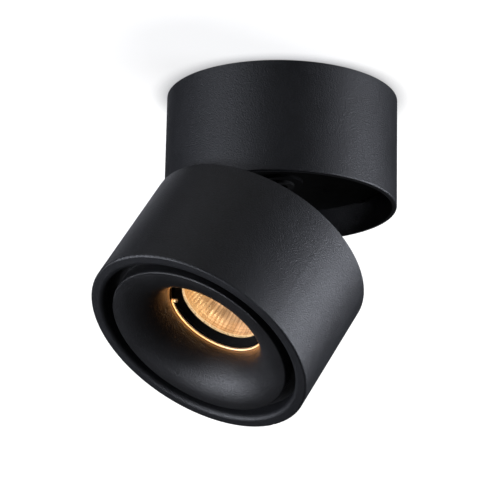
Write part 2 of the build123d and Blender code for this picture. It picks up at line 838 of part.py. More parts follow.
arm_inner_x = arm_centre_x - arm_thickness / 2
arm_back_w = knuckle_w - arm_width / 2
arm_screw_points = [
    (side * (arm_inner_x - arm_foot_width / 2), arm_foot_far_y - arm_foot_length * share)
    for side in (-1, 1)
    for share in (0.25, 0.75)
]


def hinge_arm(side):
    """A gooseneck arm: a knuckle on the pin, a bend inboard and a foot on the panel."""
    start = arm_inner_x if side > 0 else -arm_inner_x - arm_thickness
    with BuildPart() as piece:
        with BuildSketch(head_side.offset(start)) as profile:
            with BuildLine():
                Polyline(
                    (knuckle_y, arm_back_w),
                    (arm_leg_y - arm_width / 2, arm_back_w),
                    (arm_leg_y - arm_width / 2, panel_back),
                    (arm_foot_far_y, panel_back),
                    (arm_foot_far_y, arm_back_w + arm_width),
                    (knuckle_y, arm_back_w + arm_width),
                    close=True,
                )
            make_face()
            outer_corner = (arm_leg_y - arm_width / 2, arm_back_w)
            fillet(profile.vertices().sort_by_distance(outer_corner)[0], arm_outer_bend)
            inner_corner = (arm_foot_far_y, arm_back_w + arm_width)
            fillet(profile.vertices().sort_by_distance(inner_corner)[0], arm_inner_bend)
            with Locations((knuckle_y, knuckle_w)):
                Circle(knuckle_radius)
                Circle(hinge_pin_radius + seat_gap, mode=Mode.SUBTRACT)
        extrude(amount=arm_thickness)
        with BuildSketch(head.offset(panel_back - arm_foot_thickness)):
            foot_x = side * (arm_inner_x - arm_foot_width / 2)
            with Locations((foot_x, arm_foot_far_y - arm_foot_length / 2)):
                Rectangle(arm_foot_width, arm_foot_length)
            with Locations((side * arm_centre_x, arm_foot_far_y - arm_foot_length / 2)):
                Rectangle(arm_thickness, arm_foot_length)
            with Locations(*arm_screw_points):
                Circle(m3_radius + drill_gap, mode=Mode.SUBTRACT)
        extrude(amount=arm_foot_thickness)
    return piece


hinge_arm_right = hinge_arm(1)
hinge_arm_right.part.label = "hinge_arm_right"
hinge_arm_left = hinge_arm(-1)
hinge_arm_left.part.label = "hinge_arm_left"

with BuildPart() as hinge_sleeve:
    with BuildSketch(head_side.offset(-arm_inner_x)):
        with Locations((knuckle_y, knuckle_w)):
            Circle(hinge_pin_radius + slip_gap + hinge_sleeve_wall)
            Circle(hinge_pin_radius + slip_gap, mode=Mode.SUBTRACT)
    extrude(amount=2 * arm_inner_x)
hinge_sleeve.part.label = "hinge_sleeve"


def facing_back(w):
    """The plane across the head at w, with its z axis towards the back."""
    return Plane(origin=head.offset(w).origin, x_dir=head.x_dir, z_dir=-head.z_dir)


def flipped(points):
    """Points in the head's face, as a plane facing back sees them."""
    return [(x, -y) for x, y in points]


arm_screws = screws(
    facing_back(panel_back - arm_foot_thickness),
    flipped(arm_screw_points),
    m3_radius,
    arm_foot_thickness + panel_thickness,
    m3_head_radius,
    m3_head_height,
)
arm_screws.part.label = "arm_screws"

# ---------------------------------------------------------------- head: shell and panel

with BuildPart() as head_shell:
    with BuildSketch(head):
        Circle(drum_radius)
    extrude(amount=head_length)
    with BuildSketch(head):
        Circle(inner_radius)
    extrude(amount=front_ring_back, mode=Mode.SUBTRACT)
    with BuildSketch(head):
        Circle(front_ring_inner)
    extrude(amount=head_length, mode=Mode.SUBTRACT)
    front_edges = head_shell.edges().filter_by(GeomType.CIRCLE).group_by(head_axis)[-1]
    fillet(front_edges.sort_by(SortBy.RADIUS)[0], radius=front_ring_round)
    front_edges = head_shell.edges().filter_by(GeomType.CIRCLE).group_by(head_axis)[-1]
    fillet(front_edges.sort_by(SortBy.RADIUS)[-1], radius=edge_round)
    back_edges = head_shell.edges().filter_by(GeomType.CIRCLE).group_by(head_axis)[0]
    fillet(back_edges.sort_by(SortBy.RADIUS)[0], radius=edge_round)
    # screw lugs on the inside of the wall
    with BuildSketch(head.offset(sink_front)):
        with Locations(*shell_screw_points):
            Circle(shell_lug_radius)
        with PolarLocations((lug_circle_radius + drum_radius) / 2, shell_lug_count, 30):
            Rectangle(drum_radius - lug_circle_radius, 2 * shell_lug_radius)
        Circle(drum_radius - wall / 2, mode=Mode.INTERSECT)
    extrude(amount=shell_lug_length)
    with BuildSketch(head.offset(sink_front)):
        with Locations(*shell_screw_points):
            Circle(m3_radius + seat_gap)
    extrude(amount=m3_engagement, mode=Mode.SUBTRACT)
head_shell.part.label = "head_shell"

head_wire_hole = head_wire_radius + grommet_lip

with BuildPart() as head_back_panel:
    with BuildSketch(head.offset(panel_back)):
        Circle(inner_radius - slip_gap)
        with Locations((0, head_wire_y)):
            Circle(head_wire_hole, mode=Mode.SUBTRACT)
        with Locations(*arm_screw_points):
            Circle(m3_radius + seat_gap, mode=Mode.SUBTRACT)
        with Locations(*shell_screw_points):
            Circle(m3_radius + drill_gap, mode=Mode.SUBTRACT)
    extrude(amount=panel_thickness)
    # countersinks on the back
    with BuildSketch(head.offset(panel_back)):
        with Locations(*shell_screw_points):
            Circle(m3_sink_radius + drill_gap)
    extrude(amount=m3_sink_radius - m3_radius, taper=45, mode=Mode.SUBTRACT)
head_back_panel.part.label = "head_back_panel"

panel_screws = sunk_screws(
    facing_back(panel_back),
    flipped(shell_screw_points),
    m3_radius,
    sink_front - panel_back + m3_engagement - cut_margin,
    m3_sink_radius,
)
panel_screws.part.label = "panel_screws"

with BuildPart() as head_grommet:
    with BuildSketch(head.offset(panel_back)):
        with Locations((0, head_wire_y)):
            Circle(head_wire_hole - seat_gap)
    extrude(amount=panel_thickness)
    with BuildSketch(head.offset(panel_back - grommet_lip_height)):
        with Locations((0, head_wire_y)):
            Circle(head_wire_hole + grommet_lip)
    extrude(amount=grommet_lip_height)
    with BuildSketch(head.offset(panel_front)):
        with Locations((0, head_wire_y)):
            Circle(head_wire_hole + grommet_lip)
    extrude(amount=grommet_lip_height)
    with BuildSketch(head.offset(panel_back - grommet_lip_height)):
        with Locations((0, head_wire_y)):
            Circle(head_wire_radius)
    extrude(amount=panel_thickness + 2 * grommet_lip_height, mode=Mode.SUBTRACT)
head_grommet.part.label = "head_grommet"

# ---------------------------------------------------------------- head: heat sink and light

sink_wire_radius = head_wire_hole + grommet_lip + slip_gap
sink_radius = inner_radius - cut_margin
fin_length = shoulder_back - fin_tip_gap - sink_front
fin_step = 360 / fin_count
fin_middle_radius = (fin_inner_radius + fin_outer_radius) / 2


def fin_angles():
    """Angles of the fins that stand clear of the posts and of the wire hole."""
    post_half = degrees(asin((post_radius + fin_thickness) / post_circle_radius))
    wire_half = degrees(asin((sink_wire_radius + fin_thickness) / -head_wire_y))
    blocked = [(90 + i * 360 / post_count, post_half) for i in range(post_count)]
    blocked.append((270, wire_half))
    angles = [i * fin_step for i in range(fin_count)]
    return [
        angle for angle in angles
        if all(abs((angle - middle + 180) % 360 - 180) > half for middle, half in blocked)
    ]


with BuildPart() as heat_sink:
    with BuildSketch(head.offset(panel_front)):
        Circle(sink_radius)
        with Locations((0, head_wire_y)):
            Circle(sink_wire_radius, mode=Mode.SUBTRACT)
        with Locations(*shell_screw_points):
            Circle(m3_radius + drill_gap, mode=Mode.SUBTRACT)
        with Locations(*holder_screw_points):
            Circle(m25_radius + seat_gap, mode=Mode.SUBTRACT)
    extrude(amount=sink_thickness)
    with BuildSketch(head.offset(sink_front)):
        for angle in fin_angles():
            with PolarLocations(fin_middle_radius, 1, angle):
                Rectangle(fin_outer_radius - fin_inner_radius, fin_thickness)
    extrude(amount=fin_length)
    with BuildSketch(head.offset(sink_front)):
        with Locations(*post_points):
            Circle(post_radius)
    extrude(amount=shoulder_back - sink_front)
    # screw holes through the posts, with sunk seats for the heads at the back
    with BuildSketch(head.offset(panel_front)):
        with Locations(*post_points):
            Circle(m3_radius + drill_gap)
    extrude(amount=shoulder_back - panel_front, mode=Mode.SUBTRACT)
    with BuildSketch(head.offset(panel_front)):
        with Locations(*post_points):
            Circle(m3_head_radius + drill_gap)
    extrude(amount=m3_head_height + drill_gap, mode=Mode.SUBTRACT)
    # room for the heads of the screw ends that come through the panel
    with BuildSketch(head.offset(panel_front)):
        with Locations(*arm_screw_points):
            Circle(m3_radius + drill_gap)
    extrude(amount=drill_gap, mode=Mode.SUBTRACT)
heat_sink.part.label = "heat_sink"

baffle_screws = screws(
    facing_back(panel_front + m3_head_height + drill_gap),
    flipped(post_points),
    m3_radius,
    shoulder_front - panel_front - m3_head_height - drill_gap,
    m3_head_radius,
    m3_head_height,
)
baffle_screws.part.label = "baffle_screws"

with BuildPart() as thermal_pad:
    with BuildSketch(head.offset(sink_front)):
        Rectangle(chip_side, chip_side)
    extrude(amount=pad_thickness)
thermal_pad.part.label = "thermal_pad"

with BuildPart() as led_chip:
    with BuildSketch(head.offset(sink_front + pad_thickness)):
        Rectangle(chip_side, chip_side)
    extrude(amount=chip_thickness)
led_chip.part.label = "led_chip"

with BuildPart() as led_emitter:
    with BuildSketch(head.offset(chip_top)):
        Circle(emitter_radius)
    extrude(amount=emitter_thickness)
led_emitter.part.label = "led_emitter"

with BuildPart() as chip_holder:
    with BuildSketch(head.offset(sink_front)):
        Circle(holder_radius)
    extrude(amount=holder_height)
    with BuildSketch(head.offset(sink_front)):
        Rectangle(chip_side + 2 * slip_gap, chip_side + 2 * slip_gap)
    extrude(amount=pad_thickness + chip_thickness + slip_gap / 4, mode=Mode.SUBTRACT)
    with BuildSketch(head.offset(sink_front)):
        Circle(holder_opening_radius)
        with Locations(*holder_screw_points):
            Circle(m25_radius + drill_gap)
    extrude(amount=holder_height, mode=Mode.SUBTRACT)
    # countersinks on the front
    with BuildSketch(head.offset(holder_front)):
        with Locations(*holder_screw_points):
            Circle(m25_head_radius + drill_gap)
    extrude(amount=m25_radius - m25_head_radius, taper=45, mode=Mode.SUBTRACT)
chip_holder.part.label = "chip_holder"

holder_screws = sunk_screws(
    head.offset(holder_front),
    holder_screw_points,
    m25_radius,
    holder_height + sink_thickness,
    m25_head_radius,
)
holder_screws.part.label = "holder_screws"

# ---------------------------------------------------------------- head: baffle and optics

with BuildPart() as baffle:
    trumpet_centre = (baffle_radius - baffle_flat, trumpet_end)
    trumpet_a = baffle_radius - baffle_flat - throat_radius
    skirt_inner = baffle_radius - baffle_skirt_wall
    seat_radius = inner_radius - slip_gap
    seat_back = front_ring_back - baffle_seat_thickness
    with BuildSketch(head_section):
        with BuildLine():
            EllipticalCenterArc(
                trumpet_centre, trumpet_a, trumpet_depth, start_angle=90, arc_size=90
            )
            Polyline(
                (throat_radius, trumpet_end),
                (throat_radius, cup_front),
                (throat_outer, cup_front),
                (throat_outer, trumpet_end),
            )
            EllipticalCenterArc(
                trumpet_centre,
                trumpet_a - baffle_wall,
                trumpet_depth - baffle_wall,
                start_angle=90,
                arc_size=90,
            )
            Polyline(
                (baffle_radius - baffle_flat, baffle_front - baffle_wall),
                (skirt_inner, baffle_front - baffle_wall),
                (skirt_inner, seat_back),
                (seat_radius, seat_back),
                (seat_radius, front_ring_back),
                (baffle_radius, front_ring_back),
                (baffle_radius, baffle_front - baffle_rim_round),
            )
            RadiusArc(
                (baffle_radius, baffle_front - baffle_rim_round),
                (baffle_radius - baffle_rim_round, baffle_front),
                -baffle_rim_round,
            )
            Line(
                (baffle_radius - baffle_rim_round, baffle_front),
                (baffle_radius - baffle_flat, baffle_front),
            )
        make_face()
    revolve(axis=head_axis)
baffle.part.label = "baffle"

with BuildPart() as lamp_cup:
    with BuildSketch(head.offset(shoulder_back)):
        Circle(lamp_cup_flange_radius)
        Circle(throat_radius - shoulder_width, mode=Mode.SUBTRACT)
        with Locations(*post_points):
            Circle(m3_radius + seat_gap, mode=Mode.SUBTRACT)
    extrude(amount=shoulder_thickness)
    with BuildSketch(head.offset(shoulder_front)):
        Circle(throat_outer)
        Circle(throat_radius, mode=Mode.SUBTRACT)
    extrude(amount=cup_front - shoulder_front)
    # step that the retaining clip springs into; the baffle's tail closes it to a groove
    with BuildSketch(head.offset(clip_front - 2 * clip_wire_radius)):
        Circle(throat_radius + clip_wire_radius)
        Circle(throat_radius - cut_margin, mode=Mode.SUBTRACT)
    extrude(amount=2 * clip_wire_radius + slip_gap, mode=Mode.SUBTRACT)
lamp_cup.part.label = "lamp_cup"

with BuildPart() as reflector:
    bowl_centre = (reflector_neck_radius, shoulder_front)
    bowl_a = reflector_mouth_radius - reflector_neck_radius
    bowl_b = shoulder_front - reflector_back - reflector_wall
    with BuildSketch(head_section):
        with BuildLine():
            EllipticalCenterArc(bowl_centre, bowl_a, bowl_b, start_angle=270, arc_size=90)
            Polyline(
                (reflector_mouth_radius, shoulder_front),
                (reflector_mouth_radius, reflector_flange_front),
                (reflector_flange_radius, reflector_flange_front),
                (reflector_flange_radius, shoulder_front),
                (reflector_mouth_radius + reflector_wall, shoulder_front),
            )
            EllipticalCenterArc(
                bowl_centre,
                bowl_a + reflector_wall,
                bowl_b + reflector_wall,
                start_angle=270,
                arc_size=90,
            )
            Line(
                (reflector_neck_radius, reflector_back),
                (reflector_neck_radius, reflector_back + reflector_wall),
            )
        make_face()
    revolve(axis=head_axis)
reflector.part.label = "reflector"

with BuildPart() as cover_glass:
    with BuildSketch(head.offset(reflector_flange_front)):
        Circle(glass_radius)
    extrude(amount=glass_thickness)
cover_glass.part.label = "cover_glass"

glass_seal = washer(
    head.offset(reflector_flange_front),
    glass_radius + seat_gap / 2 + seal_width,
    glass_radius + seat_gap / 2,
    glass_thickness,
)
glass_seal.part.label = "glass_seal"

with BuildPart() as lens_ring:
    collar_front = glass_front + lens_ring_collar
    with BuildSketch(head_section):
        with BuildLine():
            Polyline(
                (lens_ring_radius, shoulder_front),
                (lens_ring_radius, collar_front),
                (glass_bore - lens_ring_lip, collar_front),
                (light_radius, glass_front + lens_ring_lip),
                (light_radius, glass_front),
                (glass_bore, glass_front),
                (glass_bore, shoulder_front),
                close=True,
            )
        make_face()
    revolve(axis=head_axis)
lens_ring.part.label = "lens_ring"

with BuildPart() as retaining_clip:
    clip_w = clip_front - clip_wire_radius
    clip_start = clip_gap_centre + clip_gap_angle / 2
    clip_span = 360 - clip_gap_angle
    clip_ends = [clip_start, clip_start + clip_span]
    start_x = clip_centre_radius * cos(radians(clip_start))
    start_y = clip_centre_radius * sin(radians(clip_start))
    with BuildLine(head.offset(clip_w)) as clip_path:
        CenterArc((0, 0), clip_centre_radius, clip_start, clip_span)
    with BuildSketch(clip_path.line ^ 0):
        Circle(clip_wire_radius)
    sweep(path=clip_path.line)
    # both ends turn in to ears for pliers
    with BuildSketch(head.offset(clip_w - clip_wire_radius)):
        for angle in clip_ends:
            with PolarLocations(clip_centre_radius - clip_ear_length / 2, 1, angle):
                SlotOverall(clip_ear_length + 2 * clip_wire_radius, 2 * clip_wire_radius)
    extrude(amount=2 * clip_wire_radius)
retaining_clip.part.label = "retaining_clip"

# ---------------------------------------------------------------- write the pieces

pieces = [
    base_housing, mounting_plate, lock_screw, cable_grommet, terminal_block,
    terminal_screws, terminal_mount_screws, cable_clamp, clamp_screws, earth_tag,
    earth_screw, driver_case, driver_cover, driver_screws, driver_board,
    driver_components, pivot_bush, slide_washer, rotor_plate, pivot_tube, wave_washer,
    pivot_nut, pivot_grommet, hinge_bracket_right, hinge_bracket_left, bracket_screws,
    hinge_pin, hinge_clip, hinge_washers, hinge_arm_right, hinge_arm_left, hinge_sleeve,
    arm_screws, head_shell, head_back_panel, panel_screws, head_grommet, heat_sink,
    baffle_screws, thermal_pad, led_chip, led_emitter, chip_holder, holder_screws,
    baffle, lamp_cup, reflector, cover_glass, glass_seal, lens_ring, retaining_clip,
]
for piece in pieces:
    export_step(piece.part, f"parts/{piece.part.label}.step")
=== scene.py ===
import json
import math

import bmesh
import bpy
from bpy.props import FloatProperty, FloatVectorProperty, IntProperty, PointerProperty
from bpy.types import Node, NodeSocket, Operator, Panel, PropertyGroup
from mathutils import Matrix, Vector


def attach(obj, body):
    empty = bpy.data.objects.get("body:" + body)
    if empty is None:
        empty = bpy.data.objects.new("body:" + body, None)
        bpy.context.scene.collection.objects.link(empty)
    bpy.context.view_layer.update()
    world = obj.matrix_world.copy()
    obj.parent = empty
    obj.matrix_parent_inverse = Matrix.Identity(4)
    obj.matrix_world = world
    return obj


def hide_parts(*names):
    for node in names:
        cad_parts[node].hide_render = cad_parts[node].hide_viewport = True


bl_info = {
    "name": "Surface mounted ceiling spotlight",
    "version": (1, 0, 0),
    "blender": (4, 5, 0),
    "location": "View3D > Sidebar > Spotlight",
    "description": "Builds the looks of a drum shaped ceiling spotlight round its CAD frame",
    "category": "Object",
}

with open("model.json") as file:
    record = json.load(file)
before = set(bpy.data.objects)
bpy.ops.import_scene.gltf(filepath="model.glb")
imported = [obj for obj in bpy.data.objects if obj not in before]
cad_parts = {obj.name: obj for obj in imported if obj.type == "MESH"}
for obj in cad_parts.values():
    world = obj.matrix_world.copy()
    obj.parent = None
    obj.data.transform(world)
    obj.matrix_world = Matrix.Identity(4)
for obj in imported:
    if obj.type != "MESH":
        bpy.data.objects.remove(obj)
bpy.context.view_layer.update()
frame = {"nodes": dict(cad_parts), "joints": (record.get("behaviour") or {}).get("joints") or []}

MM = 0.001
TINY = 1e-7
SHARP_ANGLE = math.radians(32)
UPRIGHT = Matrix.Identity(4)

# a Mix node's sockets go by number: its values A and B, and a colour's result
FLOAT_A, FLOAT_B = 2, 3
COLOUR_A, COLOUR_B, COLOUR_RESULT = 6, 7, 2

tilt_joint = next(joint for joint in frame["joints"] if joint["name"] == "tilt")
REST_TILT = math.radians(-tilt_joint["range_deg"][0])
HINGE = Vector(tilt_joint["pos_m"])


# ---- sizes and colours

def length(name, description, default_mm):
    """A length that the user can change, kept in metres."""
    return FloatProperty(
        name=name, description=description, default=default_mm * MM, min=0.0,
        precision=5, unit="LENGTH", subtype="DISTANCE",
    )


def angle(name, description, default_degrees):
    """An angle that the user can change, kept in radians."""
    return FloatProperty(
        name=name, description=description, default=math.radians(default_degrees),
        unit="ROTATION", subtype="ANGLE",
    )


def linear(code):
    """sRGB hex text such as "1c1d20", turned to linear red, green and blue."""
    parts = [int(code[i:i + 2], 16) / 255 for i in (0, 2, 4)]
    return tuple(
        part / 12.92 if part <= 0.04045 else ((part + 0.055) / 1.055) ** 2.4
        for part in parts
    )


def colour(name, description, code):
    """A colour that the user can change, given as sRGB hex."""
    return FloatVectorProperty(
        name=name, description=description, default=linear(code), size=3,
        min=0.0, max=1.0, subtype="COLOR",
    )


class SpotlightSizes(PropertyGroup):
    """Sizes of the pieces that are made here rather than in CAD."""

    hinge_to_rim: length("Hinge to rim", "From the hinge pin to the head's back rim", 9.56)
    glass_front: length("Glass front", "From the head's back rim to the glass's face", 32.6)
    glass_thickness: length("Glass thickness", "Thickness of the cover glass", 1.6)
    glass_radius: length("Glass radius", "Radius of the cover glass", 20.35)
    glass_chamfer: length("Glass chamfer", "Ground edge of the cover glass", 0.35)
    bowl_mouth: length("Bowl mouth", "Radius of the reflector at its mouth", 18.2)
    bowl_neck: length("Bowl neck", "Radius of the reflector at its neck", 7.4)
    bowl_wall: length("Bowl wall", "Wall of the reflector", 0.8)
    bowl_back: length("Bowl back", "From the head's back rim to the bowl's neck", 14.7)
    bowl_front: length("Bowl front", "From the head's back rim to the bowl's mouth", 30.0)
    flange_radius: length("Flange radius", "Radius of the reflector's flange", 21.0)
    flange_height: length("Flange height", "Thickness of the reflector's flange", 1.0)
    flute_count: IntProperty(
        name="Flutes", description="Facets round the reflector", default=60, min=8, max=200,
    )
    clip_radius: length("Clip radius", "Radius of the retaining clip's centre line", 22.2)
    clip_wire: length("Clip wire", "Radius of the retaining clip's wire", 0.8)
    clip_height: length("Clip height", "From the head's back rim to the clip's wire", 36.4)
    clip_gap: angle("Clip gap", "Angle of the gap in the retaining clip", 68.0)
    clip_gap_centre: angle("Gap centre", "Where the gap is, from the hinge line", 110.0)
    clip_ear: length("Clip ear", "Length of the clip's turned-in ends", 2.2)
    clip_bend: length("Clip bend", "Bend radius where the clip's ends turn in", 1.0)
    m3_radius: length("M3 radius", "Thread radius of the larger screws", 1.5)
    m3_pitch: length("M3 pitch", "Thread pitch of the larger screws", 0.5)
    m3_head: length("M3 head", "Head height of the larger screws", 1.8)
    m25_radius: length("M2.5 radius", "Thread radius of the smaller screws", 1.25)
    m25_pitch: length("M2.5 pitch", "Thread pitch of the smaller screws", 0.45)
    m25_head: length("M2.5 head", "Head height of the smaller screws", 1.5)
    socket_depth: length("Socket depth", "Depth of the screws' hexagon sockets", 0.9)
    washer_bore: length("Washer bore", "Radius of the wave washer's hole", 6.15)
    washer_sheet: length("Washer sheet", "Thickness of the wave washer's spring sheet", 0.3)
    washer_waves: IntProperty(
        name="Washer waves", description="Waves round the wave washer", default=3, min=2,
        max=6,
    )


class SpotlightColours(PropertyGroup):
    """Colours of the finishes."""

    coat: colour("Powder coat", "Black of the two drums", "131417")
    coat_tip: colour("Powder coat grain", "Lighter black of its raised grain", "212226")
    baffle: colour("Baffle coat", "Black of the trumpet shaped baffle", "121214")
    baffle_tip: colour("Baffle grain", "Lighter black of the baffle's grain", "202022")
    dipped: colour("Dipped steel", "Black of the hinge and the back panel", "0c0c0d")
    zinc: colour("Zinc", "Zinc plate on the screws and the ceiling plate", "b7bcc4")
    wire: colour("Spring wire", "Satin steel of the retaining clip's wire", "a8a199")
    spill: colour("Lamp spill", "Warm light of the lamp on its throat", "ffae63")
    clip_spill: colour("Clip spill", "Paler light close to the lamp, on its clip", "ffd5a0")
    # painted light: the three reflector colours are the lit lamp's glow on the bowl, painted as
    # emission
    painted_glow_gold: colour("Reflector gold", "Deep gold of the lit reflector", "cf9050")
    painted_glow_pale: colour("Reflector pale", "Pale beige of the lit reflector", "dcb48c")
    painted_rim_highlight: colour("Reflector rim", "Bright rim of the lit reflector", "ffd9a6")
    ceiling: colour("Ceiling", "White paint, held back so as not to burn out", "959595")


class SpotlightStage(PropertyGroup):
    """The camera, the lamps and the ceiling."""

    camera_azimuth: angle("Camera azimuth", "Where it stands round the light", 51.52)
    camera_distance: length("Camera distance", "From the swivel axis", 1014.98)
    camera_drop: length("Camera drop", "How far the camera is below the ceiling", 373.7)
    camera_turn: angle("Camera turn", "How far the camera looks to the left", 0.739)
    camera_pitch: angle("Camera pitch", "How far the camera looks up", 16.799)
    camera_roll: angle("Camera roll", "How far the camera leans", 1.186)
    focal_length: FloatProperty(
        name="Focal length", description="On a 36 mm sensor", default=179.38, unit="CAMERA",
    )


# ---- places

def head_place():
    """The head's own frame: centre of its back rim, z along the light, y to the hinge."""
    reach = -HINGE.y
    turn = Matrix((
        (1, 0, 0),
        (0, -math.cos(REST_TILT), -math.sin(REST_TILT)),
        (0, math.sin(REST_TILT), -math.cos(REST_TILT)),
    ))
    back = bpy.context.scene.spotlight_sizes.hinge_to_rim
    origin = HINGE - turn @ Vector((0, reach, -back))
    return Matrix.Translation(origin) @ turn.to_4x4()


def polar(radius, turn, height=0.0):
    """A point at a radius and an angle round the z axis."""
    return Vector((radius * math.cos(turn), radius * math.sin(turn), height))


def solids(node, place):
    """Boxes of a CAD node's separate solids, in the frame of a place."""
    mesh = frame["nodes"][node].data
    inverse = place.inverted()
    # vertices that lie at one spot are taken as one
    spots = [tuple(round(value, 6) for value in vertex.co) for vertex in mesh.vertices]
    parent = {spot: spot for spot in spots}

    def root(spot):
        while parent[spot] != spot:
            parent[spot] = spot = parent[parent[spot]]
        return spot

    for edge in mesh.edges:
        a, b = (root(spots[v]) for v in edge.vertices)
        parent[a] = b
    groups = {}
    for spot, vertex in zip(spots, mesh.vertices):
        groups.setdefault(root(spot), []).append(inverse @ vertex.co)
    boxes = [
        [Vector([pick(axis) for axis in zip(*points)]) for pick in (min, max)]
        for points in groups.values()
    ]
    return sorted(boxes, key=lambda box: tuple(round(value, 5) for value in box[0]))


# ---- mesh tools

def add_object(name, data):
    """A new object in the scene, for a mesh, a lamp or the camera."""
    made = bpy.data.objects.new(name, data)
    bpy.context.scene.collection.objects.link(made)
    return made


def mesh_object(name, bm, *materials):
    """Turns a bmesh into an object with its materials."""
    mesh = bpy.data.meshes.new(name)
    bm.to_mesh(mesh)
    bm.free()
    for material in materials:
        mesh.materials.append(material)
    return add_object(name, mesh)


def make_piece(name, bm, body, finishes, node, place=UPRIGHT, sharp=SHARP_ANGLE):
    """Makes a bmesh a shaded piece that rides on a body and stands for a CAD node."""
    bmesh.ops.remove_doubles(bm, verts=bm.verts, dist=TINY)
    bmesh.ops.recalc_face_normals(bm, faces=bm.faces)
    for face in bm.faces:
        face.smooth = True
    for edge in bm.edges:
        if len(edge.link_faces) == 2 and edge.calc_face_angle(0.0) > sharp:
            edge.smooth = False
    piece = mesh_object(name, bm, *[finish(name) for name in finishes])
    piece.matrix_world = place
    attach(piece, body)
    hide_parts(node)


def ring_of(bm, place, radius, height, segments):
    """A ring of vertices; radius and height are numbers or functions of the angle."""
    ring = []
    for i in range(segments):
        turn = math.tau * i / segments
        r, h = (value(turn) if callable(value) else value for value in (radius, height))
        ring.append(bm.verts.new(place @ polar(r, turn, h)))
    return ring


def skin(bm, rings, closed=False):
    """Faces between each ring and the next; a closed skin also joins last and first."""
    for a, b in zip(rings, rings[1:] + (rings[:1] if closed else [])):
        for i in range(len(a)):
            j = (i + 1) % len(a)
            bm.faces.new((a[i], a[j], b[j], b[i]))


def cap(bm, place, ring, height):
    """Closes a ring with a fan round a point on the axis."""
    middle = bm.verts.new(place @ Vector((0, 0, height)))
    for i in range(len(ring)):
        bm.faces.new((ring[i], ring[(i + 1) % len(ring)], middle))


def lathe(bm, profile, segments, place=UPRIGHT, material=0):
    """Turns a closed profile of (radius, height) round the z axis."""
    rings = []
    for radius, height in profile:
        if radius < TINY:
            rings.append([bm.verts.new(place @ Vector((0, 0, height)))])
        else:
            rings.append(ring_of(bm, place, radius, height, segments))
    for a, b in zip(rings, rings[1:] + rings[:1]):
        for i in range(segments):
            j = (i + 1) % segments
            corners = [a[i % len(a)], a[j % len(a)], b[j % len(b)], b[i % len(b)]]
            corners = list(dict.fromkeys(corners))
            if len(corners) > 2:
                bm.faces.new(corners).material_index = material


def tube(bm, path, radius, sides):
    """A round wire along a path of points, with domed ends."""
    tangents = [
        (path[min(i + 1, len(path) - 1)] - path[max(i - 1, 0)]).normalized()
        for i in range(len(path))
    ]
    side = tangents[0].orthogonal().normalized()
    dome = [math.radians(value) for value in (75, 50, 25)]
    rings = []

    def ring(centre, tangent, size):
        across = tangent.cross(side).normalized()
        rings.append([
            bm.verts.new(centre + size * (side * math.cos(math.tau * k / sides)
                                          + across * math.sin(math.tau * k / sides)))
            for k in range(sides)
        ])

    def domed(end, tangent, turn):
        ring(end + tangent * radius * math.sin(turn), tangent, radius * math.cos(turn))

    for turn in dome:
        domed(path[0], tangents[0], -turn)
    for point, tangent in zip(path, tangents):
        side = (side - tangent * side.dot(tangent)).normalized()
        ring(point, tangent, radius)
    for turn in reversed(dome):
        domed(path[-1], tangents[-1], turn)
    skin(bm, rings)
    bm.faces.new(rings[0])
    bm.faces.new(list(reversed(rings[-1])))


def add_screw(bm, place, head_radius, head_height, radius, reach, pitch, socket):
    """One socket screw on a place's z axis, its head's seat at 0 and its tip at -reach.

    A head height of 0 makes a countersunk head, flush with 0. The thread is cut into the
    shank: its crests have the shank's radius.
    """
    segments, steps = 36, 4  # round the screw, and along one turn of its thread
    flat = math.tau / 6
    cut = 0.6 * pitch
    top = head_height
    rings = []

    def ring(radius_at, height):
        rings.append(ring_of(bm, place, radius_at, height, segments))

    def hexagon(turn):
        return radius * math.cos(flat / 2) / math.cos((turn % flat) - flat / 2)

    def thread(height):
        def radius_at(turn):
            phase = (height / pitch - turn / math.tau) % 1.0
            run_in = min(1.0, (-start - height) / pitch)
            return radius - cut * run_in * abs(2 * phase - 1)
        return radius_at

    ring(hexagon, top - socket)
    ring(hexagon, top)
    cap(bm, place, rings[0], top - socket)
    if head_height > 0:
        start = 0.0
        bow = 0.3 * head_height
        for k in range(5):
            turn = math.pi / 2 * k / 4
            ring(head_radius - bow + bow * math.sin(turn), top - bow + bow * math.cos(turn))
        ring(head_radius, 0.0)
    else:
        start = head_radius - radius
        rim = 0.2 * MM
        ring(head_radius - rim, 0.0)
        ring(head_radius - rim, -rim)
    ring(radius, -start)
    for k in range(1, int((reach - start - pitch) / pitch * steps) + 1):
        height = -start - k * pitch / steps
        ring(thread(height), height)
    ring(radius - cut, -reach + cut)
    ring(radius - 1.6 * cut, -reach)
    skin(bm, rings)
    cap(bm, place, rings[-1], -reach)


def add_block(bm, low, high, round_off, material):
    """A moulded block between two corners, its edges rounded off."""
    made = bmesh.ops.create_cube(bm, size=1.0)["verts"]
    middle, size = (low + high) / 2, high - low
    for vert in made:
        vert.co = middle + Vector([vert.co[i] * size[i] for i in range(3)])
    edges = list({edge for vert in made for edge in vert.link_edges})
    faces = {face for vert in made for face in vert.link_faces}
    for face in faces:
        face.material_index = material
    bmesh.ops.bevel(
        bm, geom=edges, offset=round_off, segments=3, profile=0.5, affect="EDGES",
        material=material,
    )


# ---- materials

def add_node(tree, kind, inputs=None, **settings):
    """Adds a node. An input takes a constant, a socket, or a node for its first output."""
    made = tree.nodes.new("ShaderNode" + kind)
    for name, value in settings.items():
        setattr(made, name, value)
    for key, value in (inputs or {}).items():
        if isinstance(value, Node):
            value = value.outputs[0]
        if isinstance(value, NodeSocket):
            tree.links.new(value, made.inputs[key])
        else:
            made.inputs[key].default_value = value
    return made


def rgba(value):
    """A colour property or hex text as linear red, green, blue and alpha."""
    return (*(linear(value) if isinstance(value, str) else value), 1.0)


def start_material(name):
    """An empty material, its node tree and its object coordinates in metres."""
    material = bpy.data.materials.new(name)
    material.use_nodes = True
    tree = material.node_tree
    tree.nodes.clear()
    return material, tree, add_node(tree, "TexCoord").outputs["Object"]


